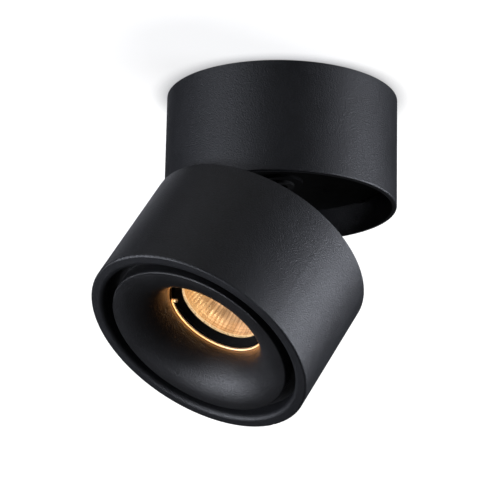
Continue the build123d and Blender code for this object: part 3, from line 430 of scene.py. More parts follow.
def grainy(name, low, high, grain_mm, height_mm, roughness, metallic=0.0, ior=1.5,
           specular=0.5, cloud_mm=9.0, stretch=(1, 1, 1), detail=2.0):
    """A finish with a grain that lifts the surface, tints its tips and varies its gloss.

    Grain, cloud and height are real sizes; stretch draws the grain out along an axis.
    """
    material, tree, coords = start_material(name)
    mapped = add_node(tree, "Mapping", {"Vector": coords, "Scale": stretch})
    grain = add_node(tree, "TexNoise", {
        "Vector": mapped, "Scale": 1 / (grain_mm * MM), "Detail": detail,
        "Roughness": 0.6,
    })
    fine = add_node(tree, "TexNoise", {
        "Vector": mapped, "Scale": 2.3 / (grain_mm * MM), "Detail": detail,
    })
    cloud = add_node(tree, "TexNoise", {
        "Vector": coords, "Scale": 1 / (cloud_mm * MM), "Detail": 3.0,
    })
    height = add_node(tree, "Mix", {
        "Factor": 0.5, FLOAT_A: grain.outputs["Fac"], FLOAT_B: fine.outputs["Fac"],
    }, data_type="FLOAT")
    tips = add_node(tree, "MapRange", {
        "Value": height, "From Min": 0.42, "From Max": 0.66,
        "To Max": 0.75,
    })
    drift = add_node(tree, "MapRange", {
        "Value": cloud.outputs["Fac"], "From Min": 0.3, "From Max": 0.7,
        "To Max": 0.25,
    })
    share = add_node(tree, "Math", {0: tips, 1: drift})
    tint = add_node(tree, "Mix", {
        "Factor": share, COLOUR_A: rgba(low), COLOUR_B: rgba(high),
    }, data_type="RGBA")
    gloss = add_node(tree, "MapRange", {
        "Value": cloud.outputs["Fac"], "From Min": 0.3, "From Max": 0.7,
        "To Min": roughness[0], "To Max": roughness[1],
    })
    bump = add_node(tree, "Bump", {
        "Height": height, "Strength": 1.0, "Distance": height_mm * MM,
    })
    bsdf = add_node(tree, "BsdfPrincipled", {
        "Base Color": tint.outputs[COLOUR_RESULT], "Roughness": gloss,
        "Normal": bump, "Metallic": metallic, "IOR": ior,
        "Specular IOR Level": specular,
    })
    add_node(tree, "OutputMaterial", {"Surface": bsdf})
    return material


def reflector_with_painted_glow(name, colours, sizes):
    """Metallised bowl of a lit lamp, the lamp's light on it painted as emission.

    The painted glow is gold on one side and pale on the other. Dark lines between its flutes are
    painted shade, bright patches where it throws the chip's image are painted highlights, thin
    bright and dark rings near its mouth are painted light and shade, and its rim carries a
    painted highlight.
    """
    material, tree, coords = start_material(name)
    split = add_node(tree, "SeparateXYZ", {"Vector": coords})
    turn = add_node(tree, "Math", {
        0: split.outputs["Y"], 1: split.outputs["X"],
    }, operation="ARCTAN2")
    # painted highlights: streaks of light run up the flutes, about 2 mm across at the mouth, 12
    # mm long
    along = add_node(tree, "CombineXYZ", {"X": turn, "Y": split.outputs["Z"]})
    stretched = add_node(tree, "Mapping", {
        "Vector": along, "Scale": (9.0, 1 / (12 * MM), 1.0),
    })
    painted_streak_noise = add_node(tree, "TexNoise", {
        "Vector": stretched, "Scale": 1.0, "Detail": 3.0, "Roughness": 0.6,
    })
    # painted light: the glow shades from gold on one side of the bowl to pale on the other
    side = add_node(tree, "MapRange", {
        "Value": split.outputs["Y"], "From Min": 9 * MM, "From Max": -13 * MM,
    })
    painted_glow_tint = add_node(tree, "Mix", {
        "Factor": side, COLOUR_A: rgba(colours.painted_glow_gold),
        COLOUR_B: rgba(colours.painted_glow_pale),
    }, data_type="RGBA")
    # painted shade: dark lines between the flutes dim the painted glow
    flutes = add_node(tree, "Math", {
        0: turn, 1: float(sizes.flute_count),
    }, operation="MULTIPLY")
    wave = add_node(tree, "Math", {0: flutes}, operation="COSINE")
    painted_flute_shade = add_node(tree, "MapRange", {
        "Value": wave, "From Min": -1.0, "From Max": -0.2,
        "To Min": 0.55, "To Max": 1.05,
    })
    # painted highlights: bright patches where the bowl throws the chip's image
    spots = add_node(tree, "MapRange", {
        "Value": painted_streak_noise.outputs["Fac"], "From Min": 0.38, "From Max": 0.66,
        "To Min": 0.6, "To Max": 1.7,
    })
    # painted light and shade: thin bright and dark rings near the mouth, set by height
    rings = add_node(tree, "MapRange", {
        "Value": split.outputs["Z"], "From Min": sizes.bowl_front - 12 * MM,
        "From Max": sizes.bowl_front + sizes.flange_height,
    })
    painted_ring_bands = add_node(tree, "ValToRGB", {"Fac": rings})
    # painted bright and dark rings: their strengths at shares of the way from 12 mm inside the
    # mouth to the flange's face
    steps = (
        (0.0, 1.25), (0.23, 1.15), (0.32, 0.62), (0.48, 0.50), (0.66, 0.50), (0.72, 0.68),
        (0.76, 0.42), (0.80, 0.72), (0.84, 0.52), (0.87, 0.30), (0.90, 0.52),
        (0.97, 0.40), (0.99, 0.85),
    )
    ramp = painted_ring_bands.color_ramp
    for i, (place, value) in enumerate(steps):
        stop = ramp.elements[i] if i < 2 else ramp.elements.new(place)
        stop.position = place
        stop.color = (value, value, value, 1.0)
    painted_flute_light = add_node(tree, "Math", {0: painted_flute_shade, 1: spots}, operation="MULTIPLY")
    # painted highlight: the rim glows at full strength in the pale rim colour
    edge = add_node(tree, "MapRange", {
        "Value": split.outputs["Z"], "From Min": sizes.bowl_front + 0.6 * MM,
        "From Max": sizes.bowl_front + 0.9 * MM,
    })
    body = add_node(tree, "Mix", {
        "Factor": edge, FLOAT_A: painted_flute_light, FLOAT_B: 1.0,
    }, data_type="FLOAT")
    strength = add_node(tree, "Math", {
        0: body, 1: painted_ring_bands.outputs["Color"],
    }, operation="MULTIPLY")
    lit = add_node(tree, "Mix", {
        "Factor": edge, COLOUR_A: painted_glow_tint.outputs[COLOUR_RESULT],
        COLOUR_B: rgba(colours.painted_rim_highlight),
    }, data_type="RGBA")
    bsdf = add_node(tree, "BsdfPrincipled", {
        "Base Color": rgba("b9a88c"), "Metallic": 1.0, "Roughness": 0.18,
        "Emission Color": lit.outputs[COLOUR_RESULT],
        "Emission Strength": strength,
    })
    add_node(tree, "OutputMaterial", {"Surface": bsdf})
    return material


def clear_glass(name):
    """Flat float glass, faintly wavy and a little smeared."""
    material, tree, coords = start_material(name)
    ripple = add_node(tree, "TexNoise", {"Vector": coords, "Scale": 1 / (4 * MM)})
    bump = add_node(tree, "Bump", {
        "Height": ripple.outputs["Fac"], "Distance": 0.01 * MM, "Strength": 0.6,
    })
    smear = add_node(tree, "MapRange", {"Value": ripple.outputs["Fac"], "To Max": 0.05})
    bsdf = add_node(tree, "BsdfPrincipled", {
        "Base Color": rgba("fbfdfd"), "Roughness": smear, "IOR": 1.52,
        "Transmission Weight": 1.0, "Normal": bump,
    })
    add_node(tree, "OutputMaterial", {"Surface": bsdf})
    return material


def phosphor(name):
    """Yellow silicone over the light emitting chips, lit from below."""
    material, tree, coords = start_material(name)
    speck = add_node(tree, "TexVoronoi", {"Vector": coords, "Scale": 1 / (1.1 * MM)})
    tint = add_node(tree, "Mix", {
        "Factor": speck.outputs["Distance"], COLOUR_A: rgba("ffdf9a"),
        COLOUR_B: rgba("f2b245"),
    }, data_type="RGBA").outputs[COLOUR_RESULT]
    bsdf = add_node(tree, "BsdfPrincipled", {
        "Base Color": tint, "Roughness": 0.35, "IOR": 1.41, "Emission Color": tint,
        "Emission Strength": 1.0,
    })
    add_node(tree, "OutputMaterial", {"Surface": bsdf})
    return material


def circuit_board(name):
    """Glass fibre board under green solder mask: copper tracks stand up through it."""
    material, tree, coords = start_material(name)
    tracks = add_node(tree, "TexBrick", {
        "Vector": coords, "Scale": 1 / (9 * MM), "Mortar Size": 0.07,
        "Mortar Smooth": 0.1, "Brick Width": 0.5, "Row Height": 0.22,
    })
    weave = add_node(tree, "TexWave", {"Vector": coords, "Scale": 1 / (3.5 * MM)})
    tint = add_node(tree, "Mix", {
        "Factor": tracks.outputs["Fac"], COLOUR_A: rgba("0d4a2b"),
        COLOUR_B: rgba("1c7a48"),
    }, data_type="RGBA")
    height = add_node(tree, "Math", {0: tracks.outputs["Fac"], 1: weave.outputs["Fac"]})
    bump = add_node(tree, "Bump", {"Height": height, "Distance": 0.03 * MM})
    bsdf = add_node(tree, "BsdfPrincipled", {
        "Base Color": tint.outputs[COLOUR_RESULT], "Roughness": 0.3,
        "Normal": bump,
    })
    add_node(tree, "OutputMaterial", {"Surface": bsdf})
    return material


def ceiling_paint(name, tint):
    """White wall paint: it glows a little for the camera, that glow dims near the object as
    painted contact shade, and it takes the object's shade.
    """
    material, tree, coords = start_material(name)
    # painted shade: ambient occlusion near the object dims the camera's glow, as contact shade
    contact_occlusion = add_node(tree, "AmbientOcclusion", {"Distance": 9 * MM}, samples=16)
    path = add_node(tree, "LightPath")
    painted_contact_shade = add_node(tree, "MapRange", {
        "Value": contact_occlusion.outputs["AO"], "From Min": 0.5, "To Min": 0.42, "To Max": 0.79,
    })
    shine = add_node(tree, "Math", {
        0: painted_contact_shade, 1: path.outputs["Is Camera Ray"],
    }, operation="MULTIPLY")
    mottle = add_node(tree, "TexNoise", {"Vector": coords, "Scale": 1 / (4 * MM)})
    bump = add_node(tree, "Bump", {
        "Height": mottle.outputs["Fac"], "Distance": 0.02 * MM,
    })
    paint = add_node(tree, "BsdfPrincipled", {
        "Base Color": rgba(tint), "Roughness": 0.9, "Specular IOR Level": 0.2,
        "Normal": bump, "Emission Color": rgba("ffffff"),
        "Emission Strength": shine,
    })
    behind = add_node(tree, "NewGeometry")
    clear = add_node(tree, "BsdfTransparent")
    sides = add_node(tree, "MixShader", {
        0: behind.outputs["Backfacing"], 1: paint, 2: clear,
    })
    add_node(tree, "OutputMaterial", {"Surface": sides})
    return material


def lamp_light(name, tint, strength):
    """Plain light for the rings that stand for the lamp's spill."""
    material, tree, _ = start_material(name)
    shine = add_node(tree, "Emission", {"Strength": strength, "Color": rgba(tint)})
    add_node(tree, "OutputMaterial", {"Surface": shine})
    return material


def make_materials():
    """Every finish of the light, named for what it really is."""
    colours = bpy.context.scene.spotlight_colours
    sizes = bpy.context.scene.spotlight_sizes
    made = {}
    # Polyester powder coat, fine texture, matt. Real grain is about 0.2 mm, drawn at
    # 0.6 mm so that it still sparkles at the picture's size.
    made["coat"] = grainy(
        "powder_coated_aluminium", colours.coat, colours.coat_tip, 0.6, 0.2,
        (0.43, 0.48), ior=1.6, detail=0.0,
    )
    # The same coat, a little glossier, so that light runs softly round the trumpet.
    made["baffle"] = grainy(
        "powder_coated_baffle", colours.baffle, colours.baffle_tip, 0.6, 0.2,
        (0.38, 0.44), ior=1.6, detail=0.0,
    )
    # Cathodic dip coat over pressed steel: smoother, with a faint orange peel.
    made["dipped"] = grainy(
        "dip_coated_steel", colours.dipped, "151617", 1.4, 0.02, (0.6, 0.7), specular=0.3,
    )
    # Zinc plate with a blue passivate, over rolled sheet: streaks along the rolling.
    made["zinc"] = grainy(
        "zinc_plated_steel", colours.zinc, "cfd0c8", 0.6, 0.003, (0.40, 0.48),
        metallic=1.0, cloud_mm=8.0, stretch=(1, 0.15, 1),
    )
    # Drawn spring wire: satin steel with a little rub along it.
    made["wire"] = grainy(
        "drawn_spring_steel", colours.wire, "c2bcb2", 0.35, 0.02, (0.42, 0.52),
        metallic=1.0, cloud_mm=3.0,
    )
    # Cast aluminium with a dull open skin.
    made["aluminium"] = grainy(
        "cast_aluminium", "9a9da1", "c3c5c8", 0.7, 0.02, (0.45, 0.62), metallic=1.0,
    )
    # Glass filled nylon: dull black with short fibre streaks. Its near-black is darker than the
    # nylon's own, partly painted shade for the dark band round the glass.
    made["nylon"] = grainy(
        "glass_filled_nylon", "050505", "0b0b0b", 0.35, 0.05, (0.8, 0.9),
        stretch=(1, 1, 0.3), specular=0.2,
    )
    # Moulded polycarbonate, fine spark eroded texture.
    made["polycarbonate"] = grainy(
        "moulded_polycarbonate", "dedcd5", "eeece6", 0.25, 0.008, (0.36, 0.5), ior=1.585,
    )
    # Acetal: waxy, slightly translucent white.
    made["acetal"] = grainy(
        "natural_acetal", "e6e3da", "f0eee7", 0.5, 0.004, (0.25, 0.34), ior=1.48,
    )
    # Nitrile rubber with a dusty bloom.
    made["rubber"] = grainy(
        "nitrile_rubber", "151515", "262626", 0.4, 0.01, (0.66, 0.8), cloud_mm=4.0,
    )
    # Silicone pad filled with ceramic: flat grey, without shine.
    made["pad"] = grainy(
        "silicone_thermal_pad", "7c8288", "90969b", 0.3, 0.01, (0.7, 0.8),
    )
    # Brass bar turned on a lathe, lightly tarnished.
    made["brass"] = grainy(
        "turned_brass", "b08d4c", "d3b06a", 0.4, 0.004, (0.22, 0.36), metallic=1.0,
        cloud_mm=3.0, stretch=(1, 1, 5),
    )
    # Sintered ferrite: dark, ground, with a dull metallic sheen.
    made["ferrite"] = grainy(
        "sintered_ferrite", "242326", "3a383b", 0.5, 0.01, (0.4, 0.55), cloud_mm=4.0,
    )
    # Polyester tape over the winding: smooth and yellow, drawn tight over the wires, so
    # ridges of 0.6 mm run round it.
    made["tape"] = grainy(
        "polyester_winding_tape", "c89a1e", "dcb03a", 0.6, 0.03, (0.22, 0.32),
        stretch=(0.1, 0.1, 1),
    )
    # Heat shrunk sleeve of a capacitor: glossy dark blue film.
    made["sleeve"] = grainy(
        "heat_shrunk_sleeve", "1b2333", "25304a", 1.5, 0.01, (0.2, 0.3),
    )
    # the reflector's lit look is painted glow, painted shade and painted highlights in its
    # emission
    made["reflector"] = reflector_with_painted_glow("metallised_reflector_painted_glow", colours, sizes)
    made["glass"] = clear_glass("clear_float_glass")
    made["phosphor"] = phosphor("yellow_phosphor")
    made["board"] = circuit_board("green_circuit_board")
    return made


FINISH = {}


def finish(name):
    """One of the materials, made when it is first asked for."""
    if not FINISH:
        FINISH.update(make_materials())
    return FINISH[name]


def dress(material, *nodes):
    """Gives CAD nodes whose shape is right a procedural material on their slots."""
    for node in nodes:
        slots = frame["nodes"][node].material_slots
        if not slots:
            raise RuntimeError(f"{node} has no material slot to dress")
        for slot in slots:
            slot.material = finish(material)


# ---- stage

# softboxes: azimuth round the light as the camera's is counted, elevation, width in
# metres and watts
SOFTBOXES = (
    ("right_softbox", 138.0, -9.0, 0.54, 11.6),
    ("left_softbox", -24.0, -24.0, 0.66, 9.2),
    ("high_right_softbox", 126.5, 32.0, 0.50, 1.3),
    ("high_left_softbox", -2.0, 12.0, 0.70, 2.6),
    ("rear_softbox", -113.5, 35.0, 0.50, 0.7),
)
SOFTBOX_DISTANCE = 1.1
SOFTBOX_TINT = "eff3ff"


def direction(azimuth, elevation):
    """The way to a lamp at an azimuth and an elevation in degrees."""
    a, e = math.radians(azimuth), math.radians(elevation)
    return Vector((math.sin(a) * math.cos(e), -math.cos(a) * math.cos(e), math.sin(e)))


def add_lamp(name, kind, way, energy, **settings):
    """A lamp that shines from a direction."""
    data = bpy.data.lights.new(name, kind)
    data.energy = energy
    for key, value in settings.items():
        setattr(data, key, value)
    lamp = add_object(name, data)
    lamp.rotation_mode = "QUATERNION"
    lamp.rotation_quaternion = way.to_track_quat("Z", "Y")
    return lamp


def light_only(lamp, receivers):
    """Keeps a lamp's light, or a glowing ring's, for the objects given."""
    lit = bpy.data.collections.new("lit_by_" + lamp.name)
    for receiver in receivers:
        lit.objects.link(receiver)
    lamp.light_linking.receiver_collection = lit


def add_camera(scene):
    """The camera, levelled to the drum and then turned, pitched and rolled."""
    stage = scene.spotlight_stage
    turn = Matrix.Rotation(stage.camera_azimuth, 3, "Z")
    pitch, yaw = stage.camera_pitch, -stage.camera_turn
    ahead = turn @ Vector((
        math.sin(yaw) * math.cos(pitch), math.cos(yaw) * math.cos(pitch), math.sin(pitch),
    ))
    right = ahead.cross(Vector((0, 0, 1))).normalized()
    up = right.cross(ahead)
    lean = Matrix.Rotation(-stage.camera_roll, 3, ahead)
    camera = add_object("camera", bpy.data.cameras.new("camera"))
    place = Matrix((lean @ right, lean @ up, -ahead)).transposed().to_4x4()
    place.translation = turn @ Vector((0, -stage.camera_distance, -stage.camera_drop))
    camera.matrix_world = place
    camera.data.sensor_width = 36.0
    camera.data.lens = stage.focal_length
    camera.data.clip_start = 0.05
    camera.data.dof.use_dof = False
    scene.camera = camera


def add_softboxes():
    """Soft round lamps, all aimed at the middle of the light."""
    middle = Vector((0, 0, -60 * MM))
    for name, azimuth, elevation, width, watts in SOFTBOXES:
        way = direction(azimuth, elevation)
        lamp = add_lamp(
            name, "AREA", way, watts, shape="DISK", size=width, color=linear(SOFTBOX_TINT),
        )
        lamp.location = middle + way * SOFTBOX_DISTANCE
        lamp.visible_camera = False


def add_spills(scene):
    """The lit lamp's spill: thin rings of light in the throat.

    One is for the clip and one for the throat's wall; nothing else takes their light.
    """
    sizes, colours = scene.spotlight_sizes, scene.spotlight_colours
    half_width, sides = 0.25, 6  # millimetres, and corners of a ring's section
    # millimetres inward and forward of the clip, tint, strength and what takes the light
    spills = (
        ("clip_spill", 1.5, 1.5, colours.clip_spill, 11.0, ["retaining_clip_wire"]),
        ("throat_spill", 0.45, 1.0, colours.spill, 6.0,
         ["baffle", "lamp_cup", "retaining_clip_wire"]),
    )
    for name, inward, forward, tint, strength, receivers in spills:
        bm = bmesh.new()
        turns = [math.tau * k / sides for k in range(sides)]
        lathe(bm, [
            (sizes.clip_radius + (half_width * math.cos(turn) - inward) * MM,
             sizes.clip_height + (half_width * math.sin(turn) + forward) * MM)
            for turn in turns
        ], segments=96)
        ring = mesh_object(name, bm, lamp_light(name + "_light", tint, strength))
        ring.matrix_world = head_place()
        ring.visible_camera = False
        ring.visible_transmission = False
        ring.visible_shadow = False
        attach(ring, "head")
        light_only(ring, [bpy.data.objects[receiver] for receiver in receivers])


def add_ceiling(scene):
    """The ceiling, seen from below only, and a wash of light that shades it softly."""
    reach, gap = 1.5, 0.3 * MM
    bm = bmesh.new()
    bm.faces.new([
        bm.verts.new((x * reach, y * reach, gap))
        for x, y in ((-1, -1), (-1, 1), (1, 1), (1, -1))
    ])
    paint = ceiling_paint("white_ceiling_paint", scene.spotlight_colours.ceiling)
    ceiling = mesh_object("ceiling", bm, paint)
    ceiling.visible_shadow = False
    ceiling.visible_glossy = False
    wash = add_lamp("ceiling_wash", "SUN", direction(215, -62), 3.2, angle=math.radians(40))
    light_only(wash, [ceiling])


def add_room(scene):
    """White all round for the camera and through glass, and dim for everything else.

    What mirrors the room overhead sees it a little lighter.
    """
    world = bpy.data.worlds.new("room")
    scene.world = world
    world.use_nodes = True
    tree = world.node_tree
    tree.nodes.clear()
    path = add_node(tree, "LightPath")
    seen = add_node(tree, "Math", {
        0: path.outputs["Is Camera Ray"], 1: path.outputs["Is Transmission Ray"],
    }, operation="MAXIMUM")
    way = add_node(tree, "TexCoord").outputs["Generated"]
    height = add_node(tree, "SeparateXYZ", {"Vector": way})
    overhead = add_node(tree, "MapRange", {
        "Value": height.outputs["Z"], "From Min": 0.75, "From Max": 0.97, "To Max": 0.3,
    })
    mirrored = add_node(tree, "Math", {
        0: path.outputs["Is Glossy Ray"], 1: overhead,
    }, operation="MULTIPLY")
    white = add_node(tree, "Math", {0: seen, 1: mirrored}, operation="MAXIMUM")
    strength = add_node(tree, "MapRange", {"Value": white, "To Min": 0.03, "To Max": 1.0})
    shine = add_node(tree, "Background", {"Strength": strength, "Color": rgba("ffffff")})
    add_node(tree, "OutputWorld", {"Surface": shine})


# ---- operators

class SPOTLIGHT_OT_housings(Operator):
    """Coats the base housing, the head shell and the lock screw"""

    bl_idname = "spotlight.housings"
    bl_label = "Housings"

    def execute(self, context):
        dress("coat", "base_housing", "head_shell", "lock_screw")
        return {"FINISHED"}


class SPOTLIGHT_OT_baffle(Operator):
    """Coats the trumpet shaped baffle and the lamp cup in its throat"""

    bl_idname = "spotlight.baffle"
    bl_label = "Baffle"

    def execute(self, context):
        dress("baffle", "baffle", "lamp_cup")
        return {"FINISHED"}


class SPOTLIGHT_OT_reflector(Operator):
    """Builds the fluted, faceted reflector bowl"""

    bl_idname = "spotlight.reflector"
    bl_label = "Reflector"

    def execute(self, context):
        sizes = context.scene.spotlight_sizes
        bm = bmesh.new()
        rows = 14
        segments = sizes.flute_count * 2
        depth = sizes.bowl_front - sizes.bowl_back - sizes.bowl_wall
        spread = sizes.bowl_mouth - sizes.bowl_neck
        dish = 0.16 * MM  # how far each flute's ridge stands in
        crease = math.radians(8)
        rings = []
        for row in range(rows + 1):
            turn = math.radians(90) * row / rows
            radius = sizes.bowl_neck + spread * math.sin(turn)
            height = sizes.bowl_front - depth * math.cos(turn)
            ridge = dish if 0 < row < rows else 0.0
            rings.append([
                bm.verts.new(polar(
                    radius - ridge * (i % 2), math.tau * i / segments, height,
                ))
                for i in range(segments)
            ])
        outline = [
            (sizes.bowl_mouth, sizes.bowl_front + sizes.flange_height),
            (sizes.flange_radius, sizes.bowl_front + sizes.flange_height),
            (sizes.flange_radius, sizes.bowl_front),
            (sizes.bowl_mouth + sizes.bowl_wall, sizes.bowl_front),
        ]
        for row in range(1, rows + 1):
            turn = math.radians(90) * (1 - row / rows)
            outline.append((
                sizes.bowl_neck + (spread + sizes.bowl_wall) * math.sin(turn),
                sizes.bowl_front - (depth + sizes.bowl_wall) * math.cos(turn),
            ))
        rings += [ring_of(bm, UPRIGHT, *point, segments) for point in outline]
        skin(bm, rings, closed=True)
        make_piece(
            "reflector_bowl", bm, "head", ["reflector"], "reflector",
            head_place(), sharp=crease,
        )
        return {"FINISHED"}


class SPOTLIGHT_OT_cover_glass(Operator):
    """Builds the cover glass with its ground edges"""

    bl_idname = "spotlight.cover_glass"
    bl_label = "Cover glass"

    def execute(self, context):
        sizes = context.scene.spotlight_sizes
        front, radius, cut = sizes.glass_front, sizes.glass_radius, sizes.glass_chamfer
        back = front - sizes.glass_thickness
        bm = bmesh.new()
        lathe(bm, [
            (0.0, back), (radius - cut, back), (radius, back + cut),
            (radius, front - cut), (radius - cut, front), (0.0, front),
        ], segments=128)
        make_piece(
            "cover_glass_disc", bm, "head", ["glass"], "cover_glass",
            head_place(),
        )
        return {"FINISHED"}


class SPOTLIGHT_OT_retaining_clip(Operator):
    """Bends the wire clip that holds the lens ring, with an ear at each end"""

    bl_idname = "spotlight.retaining_clip"
    bl_label = "Retaining clip"

    def execute(self, context):
        sizes = context.scene.spotlight_sizes
        start = sizes.clip_gap_centre + sizes.clip_gap / 2
        span = math.tau - sizes.clip_gap
        bend = sizes.clip_bend
        shift = bend / (sizes.clip_radius - bend)
        height = sizes.clip_height
        steps, count = 8, 150  # round an ear's bend, and round the long arc
        ease = 1.6             # the arc starts this many bends past the ear's centre

        def ear(turn, side):
            """Points from an ear's tip to the start of the wire's long arc."""
            centre = polar(sizes.clip_radius - bend, turn + side * shift, height)
            tip = polar(sizes.clip_radius - sizes.clip_ear, turn, height)
            inward = polar(1.0, turn)
            along = polar(1.0, turn + side * math.pi / 2)
            corner = centre - along * bend
            points = [tip, tip.lerp(corner, 0.5)]
            for k in range(steps + 1):
                angle_in = math.pi / 2 * k / steps
                points.append(
                    centre - along * bend * math.cos(angle_in)
                    + inward * bend * math.sin(angle_in)
                )
            return points

        arc = [
            polar(
                sizes.clip_radius,
                start + shift * ease + (span - 2 * ease * shift) * k / count,
                height,
            )
            for k in range(count + 1)
        ]
        path = ear(start, 1) + arc + list(reversed(ear(start + span, -1)))
        bm = bmesh.new()
        tube(bm, path, sizes.clip_wire, sides=20)
        make_piece(
            "retaining_clip_wire", bm, "head", ["wire"], "retaining_clip",
            head_place(),
        )
        return {"FINISHED"}


class SPOTLIGHT_OT_lens_ring(Operator):
    """Finishes the black lens ring and the seal round the glass"""

    bl_idname = "spotlight.lens_ring"
    bl_label = "Lens ring"

    def execute(self, context):
        dress("nylon", "lens_ring")
        dress("rubber", "glass_seal")
        return {"FINISHED"}


class SPOTLIGHT_OT_hinge(Operator):
    """Finishes the rotor plate, the hinge and its pin"""

    bl_idname = "spotlight.hinge"
    bl_label = "Hinge and rotor"

    def execute(self, context):
        dress(
            "dipped", "rotor_plate", "hinge_bracket_right", "hinge_bracket_left",
            "hinge_arm_right", "hinge_arm_left", "head_back_panel", "pivot_tube",
            "pivot_nut", "hinge_sleeve",
        )
        dress("zinc", "hinge_pin")
        dress("wire", "hinge_clip")
        dress("acetal", "hinge_washers", "slide_washer")
        dress("brass", "pivot_bush")
        return {"FINISHED"}


class SPOTLIGHT_OT_wave_washer(Operator):
    """Builds the waved spring washer that gives the swivel its friction"""

    bl_idname = "spotlight.wave_washer"
    bl_label = "Wave washer"

    def execute(self, context):
        sizes = context.scene.spotlight_sizes
        low, high = solids("wave_washer", UPRIGHT)[0]
        outer = (high.x - low.x) / 2
        sheet = sizes.washer_sheet
        middle = (low.z + high.z) / 2
        swing = (high.z - low.z - sheet) / 2
        bm = bmesh.new()
        rings = []
        for radius, offset in (
            (sizes.washer_bore, -sheet / 2), (outer, -sheet / 2), (outer, sheet / 2),
            (sizes.washer_bore, sheet / 2),
        ):
            def wave(turn, level=middle + offset):
                return level + swing * math.cos(sizes.washer_waves * turn)

            rings.append(ring_of(bm, UPRIGHT, radius, wave, 48 * sizes.washer_waves))
        skin(bm, rings, closed=True)
        make_piece(
            "waved_spring_washer", bm, "swivel", ["wire"], "wave_washer",
        )
        return {"FINISHED"}


class SPOTLIGHT_OT_screws(Operator):
    """Cuts the socket screws with their threads; the terminals' slotted ones stay CAD"""

    bl_idname = "spotlight.screws"
    bl_label = "Screws"

    def execute(self, context):
        sizes = context.scene.spotlight_sizes
        down = Matrix.Rotation(math.pi, 4, "X")
        out = head_place()
        back = out @ down
        m3 = (sizes.m3_radius, sizes.m3_pitch, sizes.m3_head)
        m25 = (sizes.m25_radius, sizes.m25_pitch, sizes.m25_head)
        sunk_m3 = (sizes.m3_radius, sizes.m3_pitch, 0.0)
        sunk_m25 = (sizes.m25_radius, sizes.m25_pitch, 0.0)
        groups = (
            ("terminal_mount_screws", "base", "zinc_steel", "zinc", down, m3),
            ("clamp_screws", "base", "zinc_steel", "zinc", down, m3),
            ("earth_screw", "base", "brass_metal", "brass", down, m3),
            ("driver_screws", "base", "zinc_steel", "zinc", UPRIGHT, m3),
            ("bracket_screws", "swivel", "black_steel", "dipped", down, m25),
            ("arm_screws", "head", "black_steel", "dipped", back, m3),
            ("panel_screws", "head", "black_steel", "dipped", back, sunk_m3),
            ("baffle_screws", "head", "zinc_steel", "zinc", back, m3),
            ("holder_screws", "head", "zinc_steel", "zinc", out, sunk_m25),
        )
        for node, body, slot, material, place, (radius, pitch, head_height) in groups:
            bm = bmesh.new()
            for low, high in solids(node, place):
                middle = (low + high) / 2
                seat = Vector((middle.x, middle.y, high.z - head_height))
                add_screw(
                    bm, Matrix.Translation(seat), (high.y - low.y) / 2, head_height, radius,
                    seat.z - low.z, pitch, sizes.socket_depth,
                )
            name = node.removesuffix("s") + "_threads"
            make_piece(name, bm, body, [material], node, place)
        dress("brass", "terminal_screws")
        return {"FINISHED"}


class SPOTLIGHT_OT_light_engine(Operator):
    """Finishes the heat sink, the LED chip, its holder and the pad under it"""

    bl_idname = "spotlight.light_engine"
    bl_label = "Light engine"

    def execute(self, context):
        dress("aluminium", "heat_sink", "led_chip")
        dress("pad", "thermal_pad")
        dress("phosphor", "led_emitter")
        dress("polycarbonate", "chip_holder")
        return {"FINISHED"}


class SPOTLIGHT_OT_wiring(Operator):
    """Finishes the ceiling plate, the terminals, the driver and the grommets"""

    bl_idname = "spotlight.wiring"
    bl_label = "Ceiling plate and wiring"

    def execute(self, context):
        dress("zinc", "mounting_plate", "cable_clamp", "earth_tag")
        dress("polycarbonate", "terminal_block", "driver_case", "driver_cover")
        dress("board", "driver_board")
        dress("rubber", "cable_grommet", "pivot_grommet", "head_grommet")
        return {"FINISHED"}


class SPOTLIGHT_OT_driver_components(Operator):
    """Builds the driver's transformer and its two capacitors"""

    bl_idname = "spotlight.driver_components"
    bl_label = "Driver components"

    def execute(self, context):
        boxes = solids("driver_components", UPRIGHT)
        if len(boxes) != 3:
            raise RuntimeError("the driver should have three components")
        boxes.sort(key=lambda box: box[0].x)
        bm = bmesh.new()
        for low, high in (boxes[0], boxes[2]):
            place = Matrix.Translation(((low.x + high.x) / 2, (low.y + high.y) / 2, 0))
            radius = (high.x - low.x) / 2
            foot, top = low.z, high.z
            vent = 0.35 * MM
            rim = radius - 0.9 * MM
            # the sleeve: rounded foot, crimped groove, and a rim rolled over the can's top
            lathe(bm, [
                (0.0, foot), (radius - 0.5 * MM, foot), (radius, foot + 0.5 * MM),
                (radius, foot + 1.2 * MM), (radius - 0.4 * MM, foot + 1.6 * MM),
                (radius, foot + 2.0 * MM), (radius, top - 0.5 * MM),
                (radius - 0.2 * MM, top - 0.15 * MM), (radius - 0.5 * MM, top),
                (radius - 0.8 * MM, top - 0.15 * MM), (rim, top - vent),
            ], 64, place, 2)
            # the can's bare top, with its vent pressed in
            lathe(bm, [
                (0.0, top - 2 * vent), (rim, top - 2 * vent), (rim, top - vent),
                (0.35 * radius, top - vent), (0.3 * radius, top - 1.4 * vent),
                (0.0, top - 1.4 * vent),
            ], 64, place, 3)
        # the transformer: two legs, the yoke between them, and the winding under tape
        low, high = boxes[1]
        limb, yoke_inset, yoke_gap = 2.4 * MM, 4 * MM, 1.2 * MM
        core_edge, tape_edge = 0.35 * MM, 1.6 * MM
        inset = Vector((0, 1.6 * MM, 1.4 * MM))
        for start, end in (
            (low, Vector((low.x + limb, high.y, high.z))),
            (Vector((high.x - limb, low.y, low.z)), high),
            (Vector((low.x + limb, low.y + yoke_inset, high.z - limb)),
             Vector((high.x - limb, high.y - yoke_inset, high.z))),
        ):
            add_block(bm, start, end, core_edge, 0)
        add_block(
            bm, low + inset + Vector((limb, 0, 0)),
            high - inset - Vector((limb, 0, yoke_gap)), tape_edge, 1,
        )
        make_piece(
            "driver_windings", bm, "base",
            ["ferrite", "tape", "sleeve", "aluminium"], "driver_components",
        )
        return {"FINISHED"}


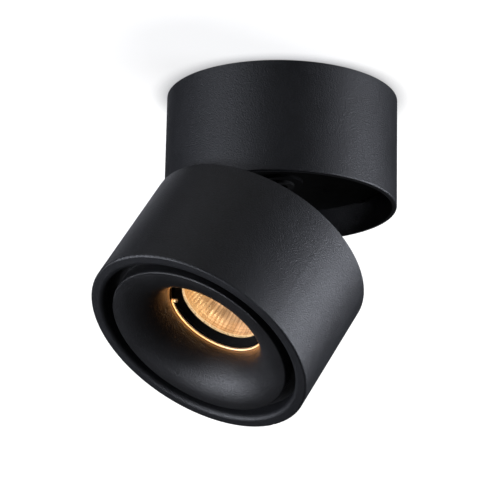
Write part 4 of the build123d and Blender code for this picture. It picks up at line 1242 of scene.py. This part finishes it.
class SPOTLIGHT_OT_stage(Operator):
    """Sets up the camera, the softboxes, the lit lamp's spill, the ceiling and the room"""

    bl_idname = "spotlight.stage"
    bl_label = "Stage"

    def execute(self, context):
        scene = context.scene
        scene.view_settings.view_transform = "Standard"
        add_camera(scene)
        add_softboxes()
        add_spills(scene)
        add_ceiling(scene)
        add_room(scene)
        return {"FINISHED"}


class SPOTLIGHT_PT_panel(Panel):
    """The light's settings and the buttons that build it, in the sidebar"""

    bl_idname = "SPOTLIGHT_PT_panel"
    bl_label = "Ceiling spotlight"
    bl_space_type = "VIEW_3D"
    bl_region_type = "UI"
    bl_category = "Spotlight"

    def draw(self, context):
        layout = self.layout
        for settings in SETTINGS:
            group = getattr(context.scene, settings)
            box = layout.box()
            for name in group.__annotations__:
                box.prop(group, name)
        for operator in OPERATORS:
            layout.operator(operator.bl_idname)


OPERATORS = (
    SPOTLIGHT_OT_housings,
    SPOTLIGHT_OT_baffle,
    SPOTLIGHT_OT_reflector,
    SPOTLIGHT_OT_cover_glass,
    SPOTLIGHT_OT_retaining_clip,
    SPOTLIGHT_OT_lens_ring,
    SPOTLIGHT_OT_hinge,
    SPOTLIGHT_OT_wave_washer,
    SPOTLIGHT_OT_screws,
    SPOTLIGHT_OT_light_engine,
    SPOTLIGHT_OT_wiring,
    SPOTLIGHT_OT_driver_components,
    SPOTLIGHT_OT_stage,
)
SETTINGS = {
    "spotlight_sizes": SpotlightSizes,
    "spotlight_colours": SpotlightColours,
    "spotlight_stage": SpotlightStage,
}
CLASSES = (*SETTINGS.values(), *OPERATORS, SPOTLIGHT_PT_panel)


def register():
    """Registers the classes and hangs their settings on the scene."""
    for item in CLASSES:
        bpy.utils.register_class(item)
    for name, group in SETTINGS.items():
        setattr(bpy.types.Scene, name, PointerProperty(type=group))


def unregister():
    """Takes the settings and the classes away again."""
    for name in SETTINGS:
        delattr(bpy.types.Scene, name)
    for item in reversed(CLASSES):
        bpy.utils.unregister_class(item)


def main():
    register()
    for operator in OPERATORS:
        group, name = operator.bl_idname.split(".")
        getattr(getattr(bpy.ops, group), name)()


if __name__ == "__main__":
    main()
